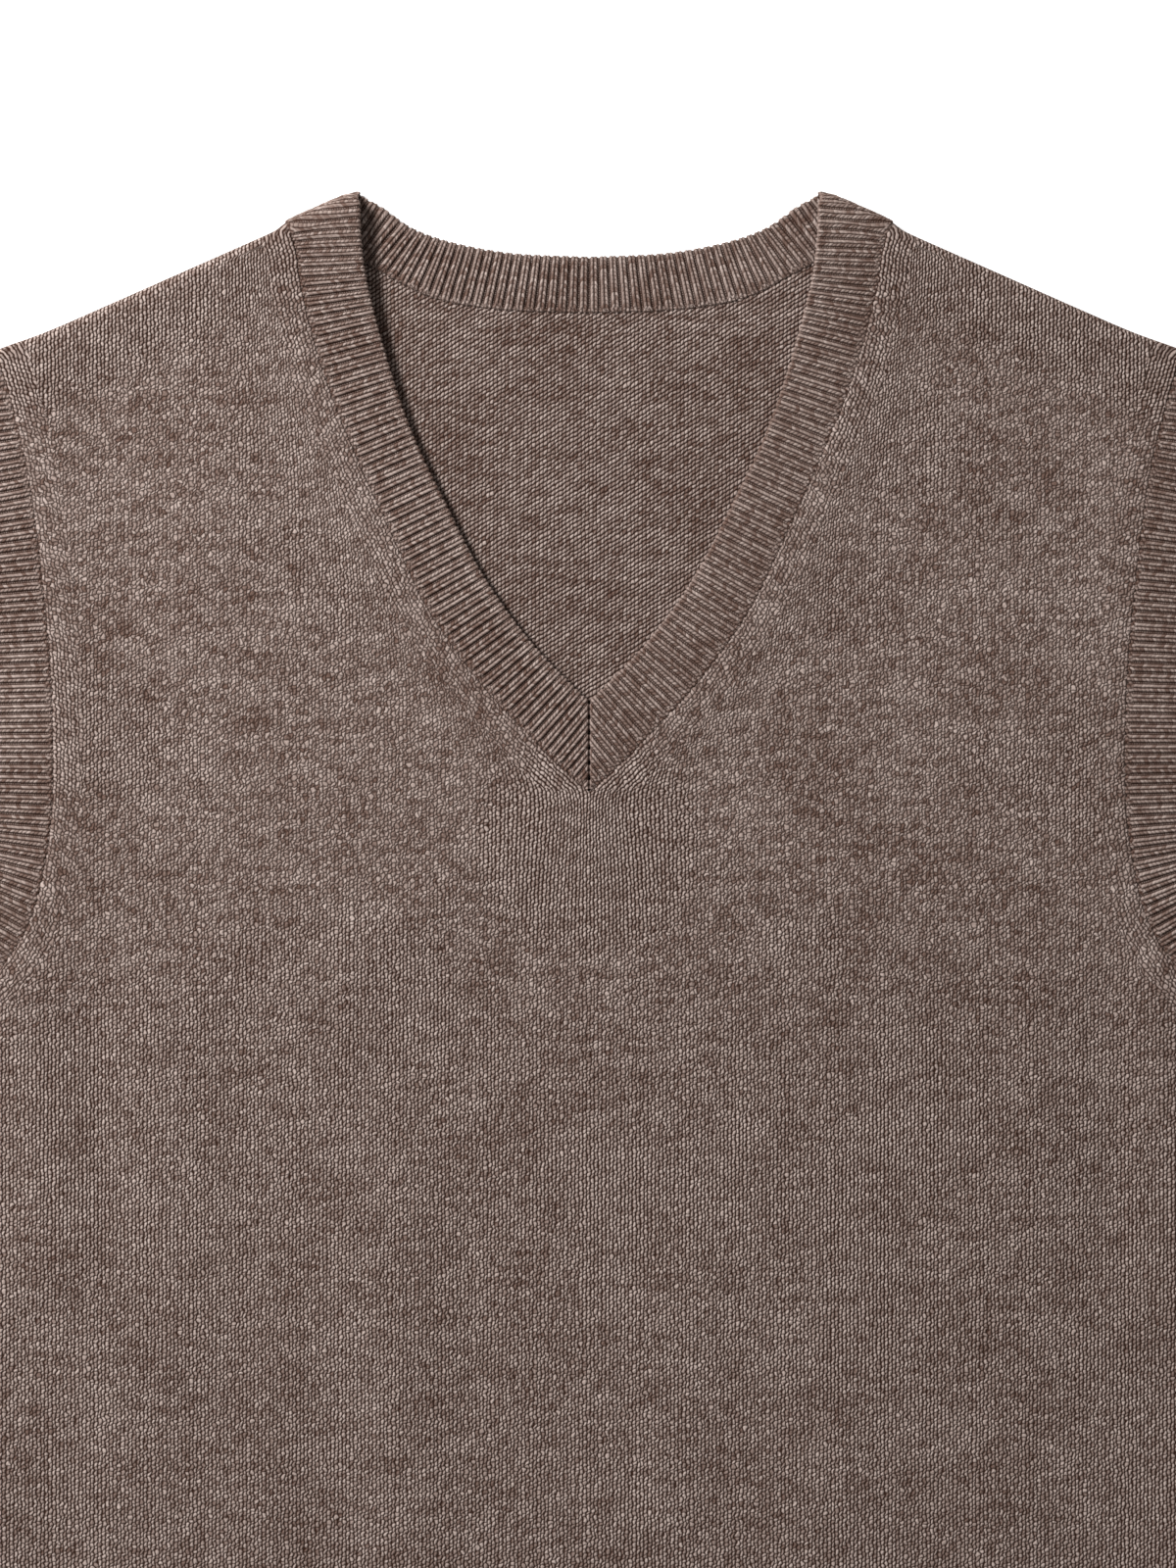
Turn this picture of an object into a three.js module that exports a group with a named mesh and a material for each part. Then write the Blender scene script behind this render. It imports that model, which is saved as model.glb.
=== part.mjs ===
// Knitted V-neck sweater vest, laid flat: the back panel lies on the surface, and the front panel on it.
// Millimetres. +X is the wearer's left, +Y runs from hem to neck, +Z is up off the surface.
// The cloth is a wall between an outer face (the garment's outside) and an inner face. Each wall is
// worked out from a middle surface, so the heights below are heights of that middle surface.

import * as THREE from 'three';
import { mergeVertices } from 'three/addons/utils/BufferGeometryUtils.js';

// Cloth
const jerseyThickness = 1.8;
const ribThickness = 2.6;
const ribDepth = 1.0;        // how far the purl troughs lie below the knit ridges
const seamGap = 0.3;         // between neighbouring pieces

// Shoulder line, side line and hem, as seen from above
const shoulderNeck = new THREE.Vector3(109, 318.6, 0);
const shoulderTip = new THREE.Vector3(210, 274, 0);
const sideLine = [
  { x: 248, y: 26 },
  { x: 250, y: 0 },
  { x: 250, y: -60 },
  { x: 248.5, y: -160 },
  { x: 246, y: -265 },
];
const hemSeamY = -265;
const hemEdgeY = -330.9;
const hemEdgeHalfWidth = 239;

// Neck band, from the shoulder fold down to the V: free edge and seam edge of the same rib
const neckBandWidthAtFold = 27;
const neckFrontRails = [
  { freeX: 82.4, freeY: 315.3, seamX: 105.5, seamY: 308.2 },
  { freeX: 80.7, freeY: 300.6, seamX: 103.7, seamY: 295.6 },
  { freeX: 73.6, freeY: 272.0, seamX: 95.8, seamY: 265.7 },
  { freeX: 64.2, freeY: 244.0, seamX: 84.1, seamY: 235.6 },
  { freeX: 51.6, freeY: 217.3, seamX: 71.4, seamY: 207.6 },
  { freeX: 37.9, freeY: 191.1, seamX: 57.7, seamY: 179.4 },
  { freeX: 20.6, freeY: 167.2, seamX: 38.4, seamY: 152.4 },
  { freeX: 0, freeY: 146.1, seamX: 15.4, seamY: 127.7 },
];
const neckTipY = 113.1;      // outer point of the V, on the centre line

// Neck band, from the shoulder fold to the centre of the back
const neckBackRails = [
  { freeX: 75.2, freeY: 324.2, seamX: 91.0, seamY: 310.0 },
  { freeX: 64.3, freeY: 317.9, seamX: 76.5, seamY: 302.8 },
  { freeX: 50.0, freeY: 313.0, seamX: 57.2, seamY: 293.1 },
  { freeX: 28.8, freeY: 309.1, seamX: 33.0, seamY: 288.7 },
  { freeX: 0, freeY: 307.6, seamX: 0, seamY: 287.4 },
];

// Armhole band, from the shoulder fold down to the underarm
const armholeBandWidth = 24;
const armholeRails = [
  { freeX: 233.2, freeY: 251.5, seamX: 209.5, seamY: 255.0 },
  { freeX: 227.1, freeY: 222.2, seamX: 203.6, seamY: 227.0 },
  { freeX: 223.1, freeY: 190.8, seamX: 199.2, seamY: 193.3 },
  { freeX: 220.0, freeY: 159.0, seamX: 196.0, seamY: 160.0 },
  { freeX: 218.9, freeY: 126.0, seamX: 194.9, seamY: 125.9 },
  { freeX: 220.2, freeY: 99.4, seamX: 196.3, seamY: 97.0 },
  { freeX: 224.5, freeY: 78.0, seamX: 203.0, seamY: 67.0 },
  { freeX: 232.0, freeY: 62.5, seamX: 214.5, seamY: 48.5 },
  { freeX: 238.8, freeY: 54.5, seamX: 230.0, seamY: 34.5 },
];

// How many steps each rail has, and how many ribs lie in one step
const neckFront = { steps: 14, ribsPerStep: 4 };
const neckMitre = { steps: 2, ribsPerStep: 3 };
const neckBack = { steps: 9, ribsPerStep: 3 };
const armhole = { steps: 22, ribsPerStep: 3 };
const hem = { steps: 13, ribsPerStep: 5 };
const bodyRows = 10;         // rows of the panels between underarm and hem
const railSamples = 400;     // points that measure a rail's length
const underarmCentreY = 40;  // where the underarm row meets the centre line

// Heights of the front layer's middle surface
const restHeight = 3.25;
const shoulderHeight = { neck: 7.8, tip: 6.0 };
const sideHeight = 5.0;
const neckEdgeLift = 0.5;    // the free edge of the neck band stands above its seam at the shoulder
const bandFreeHeight = 4.3;  // free edges of the front bands, on the back bands
const foldRise = { height: 1.6, reach: 28 };
const bandRise = { height: 1.1, reach: 20 };
const neckRise = { height: 2.0, reach: 75, x: 96, y: 322 };
const bandProud = 1.4;       // how far the bands' folds stand out past the panels' folds
const foldAngles = [30, 60, 90, 120, 150];
const rollAngles = { front: [0, 30, 60, 90], back: [180, 150, 120, 90] };
const shoulderEase = 0.7;    // below 1 the shoulder's height falls faster near the neck
const freeEdgeEase = { armhole: 0.15, hem: 0.06 };  // share of a band's length that rises to its fold

// Soft folds in the laid front, each a ridge between two points
const ridges = [
  { fromX: -203, fromY: 40, toX: -196, toY: -60, height: 1.3, halfWidth: 15 },
  { fromX: -158, fromY: 30, toX: -150, toY: -90, height: 0.9, halfWidth: 17 },
  { fromX: 206, fromY: 44, toX: 212, toY: -70, height: 1.4, halfWidth: 15 },
  { fromX: 168, fromY: 52, toX: 160, toY: -40, height: 0.7, halfWidth: 18 },
  { fromX: -72, fromY: -40, toX: -66, toY: -170, height: 1.0, halfWidth: 18 },
  { fromX: 84, fromY: -130, toX: 92, toY: -225, height: 0.8, halfWidth: 20 },
  { fromX: 30, fromY: 105, toX: 120, toY: 62, height: 0.6, halfWidth: 18 },
];

// Colours of the yarn, from the light and the shaded parts of the knit
const jerseyColour = 0x786a62;
const ribColour = 0x70625b;

// Plain helpers

const up = new THREE.Vector3(0, 0, 1);
const down = new THREE.Vector3(0, 0, -1);

const plan = (x, y) => new THREE.Vector3(x, y, 0);
const mirrored = (v) => new THREE.Vector3(-v.x, v.y, v.z);
const mix = (a, b, t) => a.clone().lerp(b, t);
const along = (from, to) => to.clone().sub(from).normalize();
const leftOf = (direction) => plan(-direction.y, direction.x);
const atHeight = (point, z) => new THREE.Vector3(point.x, point.y, z);
const bell = (distance, reach) => Math.exp(-((distance / reach) ** 2));
const steps = (count) => Array.from({ length: count + 1 }, (_, k) => k / count);

function distanceToSegment(point, from, to) {
  const span = to.clone().sub(from);
  const reach = point.clone().sub(from).dot(span) / span.lengthSq();
  return point.distanceTo(mix(from, to, THREE.MathUtils.clamp(reach, 0, 1)));
}

function distanceToLine(point, line) {
  const distances = line.slice(1).map((to, k) => distanceToSegment(point, line[k], to));
  return Math.min(...distances);
}

// Moves a line sideways, to the left of its travel, with mitred corners. The points before its first
// and after its last point only give the direction there.
function offsetLine(line, before, after, distance) {
  const all = [before, ...line, after];
  return line.map((point, k) => {
    const left0 = leftOf(along(all[k], point));
    const left1 = leftOf(along(point, all[k + 2]));
    const mitre = left0.clone().add(left1).divideScalar(1 + left0.dot(left1));
    return point.clone().addScaledVector(mitre, distance);
  });
}

// The two rails of a band as smooth curves through their rows, cut into even steps of the band's middle
function evenRails(ends, rows, count) {
  const [first, ...last] = ends;
  const pairs = [first, ...rows.map((row) => ({
    free: plan(row.freeX, row.freeY),
    seam: plan(row.seamX, row.seamY),
  })), ...last];
  const freeCurve = new THREE.CatmullRomCurve3(pairs.map((pair) => pair.free));
  const seamCurve = new THREE.CatmullRomCurve3(pairs.map((pair) => pair.seam));
  const lengths = [0];
  const middle = (k) => mix(freeCurve.getPoint(k / railSamples), seamCurve.getPoint(k / railSamples), 0.5);
  for (let k = 1; k <= railSamples; k += 1) {
    lengths.push(lengths[k - 1] + middle(k).distanceTo(middle(k - 1)));
  }
  const shares = steps(count).map((share) => {
    const wanted = lengths[railSamples] * share;
    const above = THREE.MathUtils.clamp(lengths.findIndex((length) => length >= wanted), 1, railSamples);
    const within = (wanted - lengths[above - 1]) / (lengths[above] - lengths[above - 1]);
    return (above - 1 + within) / railSamples;
  });
  return {
    free: shares.map((t) => freeCurve.getPoint(t)),
    seam: shares.map((t) => seamCurve.getPoint(t)),
  };
}

// Folds at the shoulders and sides

const shoulderAlong = along(shoulderNeck, shoulderTip);
const shoulderOut = leftOf(shoulderAlong);

const foldRadius = (height, thickness) => (height - thickness / 2) / 2;
const foldInset = (height) => foldRadius(height, jerseyThickness) + jerseyThickness / 2;

// A point of the shoulder's fold, t = 0 at the neck and 1 at the armhole: where the roll starts
function shoulderStart(t) {
  const height = THREE.MathUtils.lerp(shoulderHeight.neck, shoulderHeight.tip, t ** shoulderEase);
  const edge = mix(shoulderNeck, shoulderTip, t);
  return { height, base: edge.addScaledVector(shoulderOut, -foldInset(height)) };
}

function sidePoint(y) {
  const below = sideLine.slice(1, -1).filter((row) => row.y > y).length;
  const [upper, lower] = sideLine.slice(below, below + 2);
  const t = (upper.y - y) / (upper.y - lower.y);
  return plan(THREE.MathUtils.lerp(upper.x, lower.x, t), y);
}

function sideStart(y) {
  const tangent = along(sidePoint(y - 0.5), sidePoint(Math.min(y + 0.5, sideLine[0].y)));
  const out = leftOf(tangent).negate();
  return { out, base: sidePoint(y).addScaledVector(out, -foldInset(sideHeight)) };
}

// A point of the roll between the front layer and the back layer. Angle 0 is on top, 180 underneath.
// At 90 degrees the seam parts the two layers, and lift moves its lip off the seam.
function rolled(base, out, height, thickness, degrees, lift = 0) {
  const radius = foldRadius(height, thickness);
  const angle = THREE.MathUtils.degToRad(degrees);
  const normal = out.clone().multiplyScalar(Math.sin(angle)).addScaledVector(up, Math.cos(angle));
  const point = atHeight(base, thickness / 2 + radius).addScaledVector(normal, radius);
  point.z += lift;
  return { point, normal };
}

// Seam lines of the wearer's left half, from the shoulder's fold

const neckFold = shoulderStart(0);
const tipFold = shoulderStart(1);
const underarmFold = sideStart(sideLine[0].y);

const neckStart = {
  seam: neckFold.base,
  free: neckFold.base.clone().addScaledVector(shoulderAlong, -neckBandWidthAtFold),
};
const armholeStart = {
  seam: tipFold.base,
  free: tipFold.base.clone().addScaledVector(shoulderAlong, armholeBandWidth),
};
const armholeEnd = {
  seam: underarmFold.base,
  free: underarmFold.base.clone().addScaledVector(leftOf(underarmFold.out), armholeBandWidth),
};

const neckFrontPath = evenRails([neckStart], neckFrontRails, neckFront.steps);
const neckBackPath = evenRails([neckStart], neckBackRails, neckBack.steps);
const armholePath = evenRails([armholeStart, armholeEnd], armholeRails, armhole.steps);
const neckRows = neckFront.steps + neckMitre.steps;

// Below the inner tip of the V the seam runs on to the outer tip, and the mitre cuts the ribs
const mitreTop = neckFrontPath.seam[neckFront.steps];
for (let k = 1; k <= neckMitre.steps; k += 1) {
  neckFrontPath.seam.push(mix(mitreTop, plan(0, neckTipY), k / neckMitre.steps));
}

const pastShoulder = (line) => line[0].clone().add(shoulderOut);
const pastCentre = (line) => mirrored(line[line.length - 2]);
const pastUnderarm = underarmFold.base.clone().add(underarmFold.out);

function neckSeam(line, distance) {
  return offsetLine(line, pastShoulder(line), pastCentre(line), distance);
}

function armholeSeam(distance) {
  return offsetLine(armholePath.seam, pastShoulder(armholePath.seam), pastUnderarm, distance);
}

const seamLines = {
  neckFrontPanel: neckSeam(neckFrontPath.seam, seamGap / 2),
  neckFrontBand: neckSeam(neckFrontPath.seam, -seamGap / 2),
  neckBackPanel: neckSeam(neckBackPath.seam, seamGap / 2),
  neckBackBand: neckSeam(neckBackPath.seam, -seamGap / 2),
  armholePanel: armholeSeam(-seamGap / 2),
  armholeBand: armholeSeam(seamGap / 2),
};

// Height of the front layer

function ridgeHeight(point, ridge) {
  const from = plan(ridge.fromX, ridge.fromY);
  const to = plan(ridge.toX, ridge.toY);
  return ridge.height * bell(distanceToSegment(point, from, to), ridge.halfWidth);
}

function frontHeight(at) {
  const half = plan(Math.abs(at.x), at.y);
  const shoulder = shoulderNeck.clone().sub(half).dot(shoulderOut);
  const side = at.y < sideLine[0].y ? sidePoint(Math.max(at.y, hemSeamY)).x - half.x : Infinity;
  const fold = Math.max(Math.min(shoulder, side) - foldInset(sideHeight), 0);
  const seam = Math.min(
    distanceToLine(half, neckFrontPath.seam),
    distanceToLine(half, armholePath.seam),
    Math.abs(at.y - hemSeamY),
  );
  const neckPoint = half.distanceTo(plan(neckRise.x, neckRise.y));
  return restHeight
    + foldRise.height * bell(fold, foldRise.reach)
    + bandRise.height * bell(seam, bandRise.reach)
    + neckRise.height * bell(neckPoint, neckRise.reach)
    + ridges.reduce((sum, ridge) => sum + ridgeHeight(at, ridge), 0);
}

// Walls of the panels

// A middle surface: points with their normals, and triangles that face along the normals
function newSurface() {
  return { points: [], normals: [], triangles: [], lookup: new Map() };
}

function addPoint(surface, point, normal) {
  const key = [point.x, point.y, point.z].map((value) => Math.round(value * 1e4)).join(' ');
  if (!surface.lookup.has(key)) {
    surface.lookup.set(key, surface.points.length);
    surface.points.push(point);
    surface.normals.push(normal);
  }
  return surface.lookup.get(key);
}

function addTriangle(surface, a, b, c) {
  if (a === b || b === c || c === a) return;
  const [pa, pb, pc] = [a, b, c].map((k) => surface.points[k]);
  const face = pb.clone().sub(pa).cross(pc.clone().sub(pa));
  const sum = surface.normals[a].clone().add(surface.normals[b]).add(surface.normals[c]);
  surface.triangles.push(face.dot(sum) > 0 ? [a, b, c] : [a, c, b]);
}

// rows[j][i] holds { point, normal }. The diagonals fan towards the centre line.
function addGrid(surface, rows) {
  const index = rows.map((row) => row.map((spot) => addPoint(surface, spot.point, spot.normal)));
  for (let j = 1; j < rows.length; j += 1) {
    for (let i = 1; i < rows[j].length; i += 1) {
      const [a, b, c, d] = [index[j - 1][i - 1], index[j - 1][i], index[j][i], index[j][i - 1]];
      addTriangle(surface, a, b, c);
      addTriangle(surface, a, c, d);
    }
  }
}

function addMirrored(surface) {
  const half = surface.triangles.slice();
  const twins = surface.points.map((point, k) => [mirrored(point), mirrored(surface.normals[k])]);
  const index = twins.map(([point, normal]) => addPoint(surface, point, normal));
  half.forEach(([a, b, c]) => addTriangle(surface, index[a], index[c], index[b]));
}

function geometryFrom(triangles) {
  const positions = triangles.flatMap((corners) => corners.flatMap((corner) => corner.toArray()));
  const geometry = new THREE.BufferGeometry();
  geometry.setAttribute('position', new THREE.Float32BufferAttribute(positions, 3));
  const merged = mergeVertices(geometry, 1e-4);
  merged.computeVertexNormals();
  return merged;
}

// Thickens a middle surface into a closed wall: outer face, inner face and a rim along every open edge
function wallGeometry(surface, thickness) {
  const shifted = (sign) => surface.points.map(
    (point, k) => point.clone().addScaledVector(surface.normals[k], (sign * thickness) / 2),
  );
  const outer = shifted(1);
  const inner = shifted(-1);
  const edges = new Set(surface.triangles.flatMap(([a, b, c]) => [`${a} ${b}`, `${b} ${c}`, `${c} ${a}`]));
  const triangles = [];
  surface.triangles.forEach(([a, b, c]) => {
    triangles.push([outer[a], outer[b], outer[c]], [inner[a], inner[c], inner[b]]);
  });
  edges.forEach((edge) => {
    const [a, b] = edge.split(' ').map(Number);
    if (edges.has(`${b} ${a}`)) return;
    triangles.push([outer[b], outer[a], inner[a]], [outer[b], inner[a], inner[b]]);
  });
  return geometryFrom(triangles);
}

// Rows of a panel's side between underarm and hem, and the lips of its rolls

const bodySteps = steps(bodyRows);
const columnSteps = steps(hem.steps);
const underarmY = underarmFold.base.y;
const hemPanelY = hemSeamY + seamGap / 2;

function sideRow(t) {
  if (t === 0) return { base: seamLines.armholePanel[armhole.steps], out: underarmFold.out };
  const start = sideStart(THREE.MathUtils.lerp(underarmY, hemSeamY, t));
  if (t === 1) start.base.y = hemPanelY;
  return start;
}

function shoulderColumn(t) {
  const { base, height } = shoulderStart(t);
  if (t === 0) return { height, base: seamLines.neckFrontPanel[0] };
  if (t === 1) return { height, base: seamLines.armholePanel[0] };
  return { height, base };
}

const rollSteps = (top) => (top ? rollAngles.front : rollAngles.back);
const lipLift = (top, degrees) => (degrees === 90 ? (top ? 1 : -1) * (seamGap / 2) : 0);

function addRolls(surface, top) {
  const layer = (base, out, height) => rollSteps(top).map(
    (degrees) => rolled(base, out, height, jerseyThickness, degrees, lipLift(top, degrees)),
  );
  addGrid(surface, bodySteps.map((t) => {
    const { base, out } = sideRow(t);
    return layer(base, out, sideHeight);
  }));
  const columns = columnSteps.map(shoulderColumn);
  columns[0].base = (top ? seamLines.neckFrontPanel : seamLines.neckBackPanel)[0];
  addGrid(surface, columns.map(({ base, height }) => layer(base, shoulderOut, height)));
}

// Front panel: rows run from the neck seam or the centre line out to the armhole seam or the side
function frontPanel() {
  const topSpot = (point, height) => ({ point: atHeight(point, height), normal: up });
  const rows = [columnSteps.map(shoulderColumn).map(({ base, height }) => topSpot(base, height))];
  const addRow = (inner, outer, outerHeight) => {
    const columns = columnSteps.slice(0, -1).map((t) => mix(inner, outer, t));
    rows.push([...columns.map((at) => topSpot(at, frontHeight(at))), topSpot(outer, outerHeight)]);
  };
  const neckTip = seamLines.neckFrontPanel[neckRows];
  for (let j = 1; j < armhole.steps; j += 1) {
    const t = (j - neckRows) / (armhole.steps - neckRows);
    const inner = j <= neckRows ? seamLines.neckFrontPanel[j] : mix(neckTip, plan(0, underarmCentreY), t);
    const outer = seamLines.armholePanel[j];
    addRow(inner, outer, frontHeight(outer));
  }
  bodySteps.forEach((t) => {
    const inner = plan(0, THREE.MathUtils.lerp(underarmCentreY, hemPanelY, t));
    addRow(inner, sideRow(t).base, sideHeight);
  });
  const surface = newSurface();
  addGrid(surface, rows);
  addRolls(surface, true);
  addMirrored(surface);
  return wallGeometry(surface, jerseyThickness);
}

// Back panel: flat on the surface inside its rolled shoulders and sides
function backPanel() {
  const hemLine = columnSteps.map((t) => mix(plan(0, hemPanelY), sideRow(1).base, t));
  const outline = [
    ...seamLines.neckBackPanel.slice().reverse(),
    ...columnSteps.slice(1).map((t) => shoulderColumn(t).base),
    ...seamLines.armholePanel.slice(1),
    ...bodySteps.slice(1, -1).map((t) => sideRow(t).base),
    ...hemLine.reverse(),
  ];
  const faces = THREE.ShapeUtils.triangulateShape(outline.map((p) => new THREE.Vector2(p.x, p.y)), []);
  const surface = newSurface();
  const index = outline.map((p) => addPoint(surface, atHeight(p, jerseyThickness / 2), down));
  faces.forEach(([a, b, c]) => addTriangle(surface, index[a], index[b], index[c]));
  addRolls(surface, false);
  addMirrored(surface);
  return wallGeometry(surface, jerseyThickness);
}

// Bands: a strip between a free edge and a seam edge

// Levels of a band's faces off its middle surface, and the middle's height where it lies on the surface
const ribTop = ribThickness / 2;
const ribTrough = ribThickness / 2 - ribDepth;
const plainFace = ribThickness / 2;
const layHeight = ribThickness / 2;

// A section across a band. A face that the section leaves undefined has no points there.
const section = (free, seam, normal, outer, inner) => ({ free, seam, normal, outer, inner });
const mirroredSection = ({ free, seam, normal, outer, inner }) => (
  section(mirrored(free), mirrored(seam), mirrored(normal), outer, inner)
);
const laidSection = ({ free, seam }) => (
  section(atHeight(free, layHeight), atHeight(seam, layHeight), down, plainFace, plainFace)
);

// Sections along a run of steps. ribs is how many ribs a step has, on the outer or on the inner face.
function ribbedRun(sections, ribs, onOuter) {
  return sections.flatMap((from, k) => {
    const levels = (ribbed, other) => (onOuter ? [ribbed, other] : [other, ribbed]);
    const start = section(from.free, from.seam, from.normal, ...levels(ribTrough, plainFace));
    const to = sections[k + 1];
    if (!to) return [start];
    const between = steps(2 * ribs).slice(1, -1).map((t, r) => section(
      mix(from.free, to.free, t),
      mix(from.seam, to.seam, t),
      from.normal,
      ...levels(r % 2 === 0 ? ribTop : ribTrough, undefined),
    ));
    return [start, ...between];
  });
}

// Sections over a fold, from the top layer to the bottom one, with a rib at every second step
function foldedRun(start, out, proud) {
  return foldAngles.map((degrees, k) => {
    const moved = (base) => base.clone().addScaledVector(out, proud);
    const over = (base) => rolled(moved(base), out, base.z, ribThickness, degrees);
    const seam = over(start.seam);
    return section(over(start.free).point, seam.point, seam.normal, k % 2 ? ribTrough : ribTop, plainFace);
  });
}

// Sections from a layer's edge to the lip at the seam half way round a fold
function lipRun(start, out, top) {
  return rollSteps(top).slice(1).map((degrees) => {
    const over = (base) => rolled(base, out, base.z, ribThickness, degrees, lipLift(top, degrees));
    const seam = over(start.seam);
    return section(over(start.free).point, seam.point, seam.normal, plainFace, plainFace);
  });
}

// Closed strip through sections. Its two faces may have different numbers of sections.
function stripGeometry(sections) {
  const corner = (s, rail, level) => s[rail].clone().addScaledVector(s.normal, level);
  const face = (key, sign) => sections.flatMap((s, order) => (s[key] === undefined ? [] : [{
    order,
    free: corner(s, 'free', sign * s[key]),
    seam: corner(s, 'seam', sign * s[key]),
  }]));
  const outer = face('outer', 1);
  const inner = face('inner', -1);
  const triangles = [];
  const quad = (a, b, c, d) => triangles.push([a, b, c], [a, c, d]);
  for (let k = 1; k < outer.length; k += 1) {
    quad(outer[k - 1].free, outer[k - 1].seam, outer[k].seam, outer[k].free);
  }
  for (let k = 1; k < inner.length; k += 1) {
    quad(inner[k - 1].seam, inner[k - 1].free, inner[k].free, inner[k].seam);
  }
  let o = 0;
  let i = 0;
  while (o < outer.length - 1 || i < inner.length - 1) {
    const outerNext = outer[o + 1];
    const innerNext = inner[i + 1];
    if (outerNext && (!innerNext || outerNext.order <= innerNext.order)) {
      triangles.push([outer[o].free, outerNext.free, inner[i].free]);
      triangles.push([outerNext.seam, outer[o].seam, inner[i].seam]);
      o += 1;
    } else {
      triangles.push([innerNext.free, inner[i].free, outer[o].free]);
      triangles.push([inner[i].seam, innerNext.seam, outer[o].seam]);
      i += 1;
    }
  }
  quad(outer[0].seam, outer[0].free, inner[0].free, inner[0].seam);
  quad(outer[o].free, outer[o].seam, inner[i].seam, inner[i].free);

  // A section that has shrunk to a point leaves triangles with two equal corners
  const solid = triangles.filter(([a, b, c]) => !a.equals(b) && !b.equals(c) && !c.equals(a));
  const [middle, next] = sections.slice(Math.floor(sections.length / 2));
  const across = middle.seam.clone().sub(middle.free);
  const facing = across.cross(next.free.clone().sub(middle.free)).dot(middle.normal);
  if (facing < 0) solid.forEach((corners) => corners.reverse());
  return geometryFrom(solid);
}

function neckBand() {
  const seam = seamLines.neckFrontBand;
  const mitreX = seamGap / 2;
  const ribWay = along(neckFrontPath.free[neckFront.steps], neckFrontPath.seam[neckFront.steps]);
  const front = seam.map((point, k) => {
    const height = k === 0 ? shoulderHeight.neck : Math.max(frontHeight(point), bandFreeHeight);
    const lift = neckEdgeLift * bell(point.distanceTo(seam[0]), neckRise.reach);
    const free = k < neckFront.steps
      ? neckFrontPath.free[k]
      : point.clone().addScaledVector(ribWay, (mitreX - point.x) / ribWay.x);
    return section(atHeight(free, height + lift), atHeight(point, height), up);
  });
  const tip = front[neckRows];
  const last = front[neckRows - 1].seam;
  tip.seam = mix(last, tip.seam, (last.x - mitreX) / (last.x - tip.seam.x));
  tip.free = tip.seam.clone();

  const back = seamLines.neckBackBand.map((point, k) => (
    section(atHeight(neckBackPath.free[k], layHeight), atHeight(point, layHeight), down)
  ));
  const fold = foldedRun(front[0], shoulderOut, bandProud).reverse();
  const half = [
    ...ribbedRun(back.reverse(), neckBack.ribsPerStep, false),
    ...fold,
    ...ribbedRun(front.slice(0, neckFront.steps + 1), neckFront.ribsPerStep, true).slice(0, -1),
    ...ribbedRun(front.slice(neckFront.steps), neckMitre.ribsPerStep, true),
  ];
  return stripGeometry([...half.slice(1).reverse().map(mirroredSection), ...half]);
}

function armholeSections() {
  const fromFold = (k) => Math.min(k, armhole.steps - k) / armhole.steps;
  const front = seamLines.armholeBand.map((point, k) => {
    const ends = { 0: shoulderHeight.tip, [armhole.steps]: sideHeight };
    const height = ends[k] ?? Math.max(frontHeight(point), bandFreeHeight);
    const free = bandFreeHeight + (height - bandFreeHeight) * bell(fromFold(k), freeEdgeEase.armhole);
    return section(atHeight(armholePath.free[k], free), atHeight(point, height), up);
  });
  const end = front[armhole.steps];
  return [
    ...lipRun(end, underarmFold.out, false).reverse(),
    ...front.map(laidSection).reverse(),
    ...foldedRun(front[0], shoulderOut, bandProud).reverse(),
    ...ribbedRun(front, armhole.ribsPerStep, true),
    ...lipRun(end, underarmFold.out, true),
  ];
}

function hemSections(top) {
  const side = sideRow(1).base;
  const seamY = hemSeamY - seamGap / 2;
  const edgeBase = hemEdgeHalfWidth - foldInset(sideHeight);
  const out = leftOf(along(plan(hemEdgeHalfWidth, hemEdgeY), sidePoint(hemSeamY))).negate();
  const columns = columnSteps.map((t) => {
    const seam = plan(side.x * t, seamY);
    const height = t === 1 ? sideHeight : Math.max(frontHeight(seam), bandFreeHeight);
    const free = bandFreeHeight + (sideHeight - bandFreeHeight) * bell(1 - t, freeEdgeEase.hem);
    return section(atHeight(plan(edgeBase * t, hemEdgeY), free), atHeight(seam, height), up);
  });
  const corner = columns[hem.steps];
  const run = top ? ribbedRun(columns, hem.ribsPerStep, true) : columns.map(laidSection);
  const half = [...run, ...lipRun(corner, out, top)];
  return [...half.slice(1).reverse().map(mirroredSection), ...half];
}

// The garment

const material = (color) => new THREE.MeshStandardMaterial({ color, roughness: 0.95, metalness: 0 });
const jersey = material(jerseyColour);
const rib = material(ribColour);

function piece(name, geometry, finish) {
  const mesh = new THREE.Mesh(geometry, finish);
  mesh.name = name;
  return mesh;
}

const vest = new THREE.Group();
vest.add(
  piece('back_panel', backPanel(), jersey),
  piece('front_panel', frontPanel(), jersey),
  piece('back_hem_rib', stripGeometry(hemSections(false)), rib),
  piece('front_hem_rib', stripGeometry(hemSections(true)), rib),
  piece('neck_band', neckBand(), rib),
  piece('armhole_band_left', stripGeometry(armholeSections()), rib),
  piece('armhole_band_right', stripGeometry(armholeSections().map(mirroredSection)), rib),
);

export default vest;
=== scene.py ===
# Knitted V-neck sweater vest, laid flat. Lengths are in millimetres until mesh_object turns them into metres.
# +X is the wearer's left, +Y runs from hem to neck, +Z is up off the surface.

import math

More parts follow.
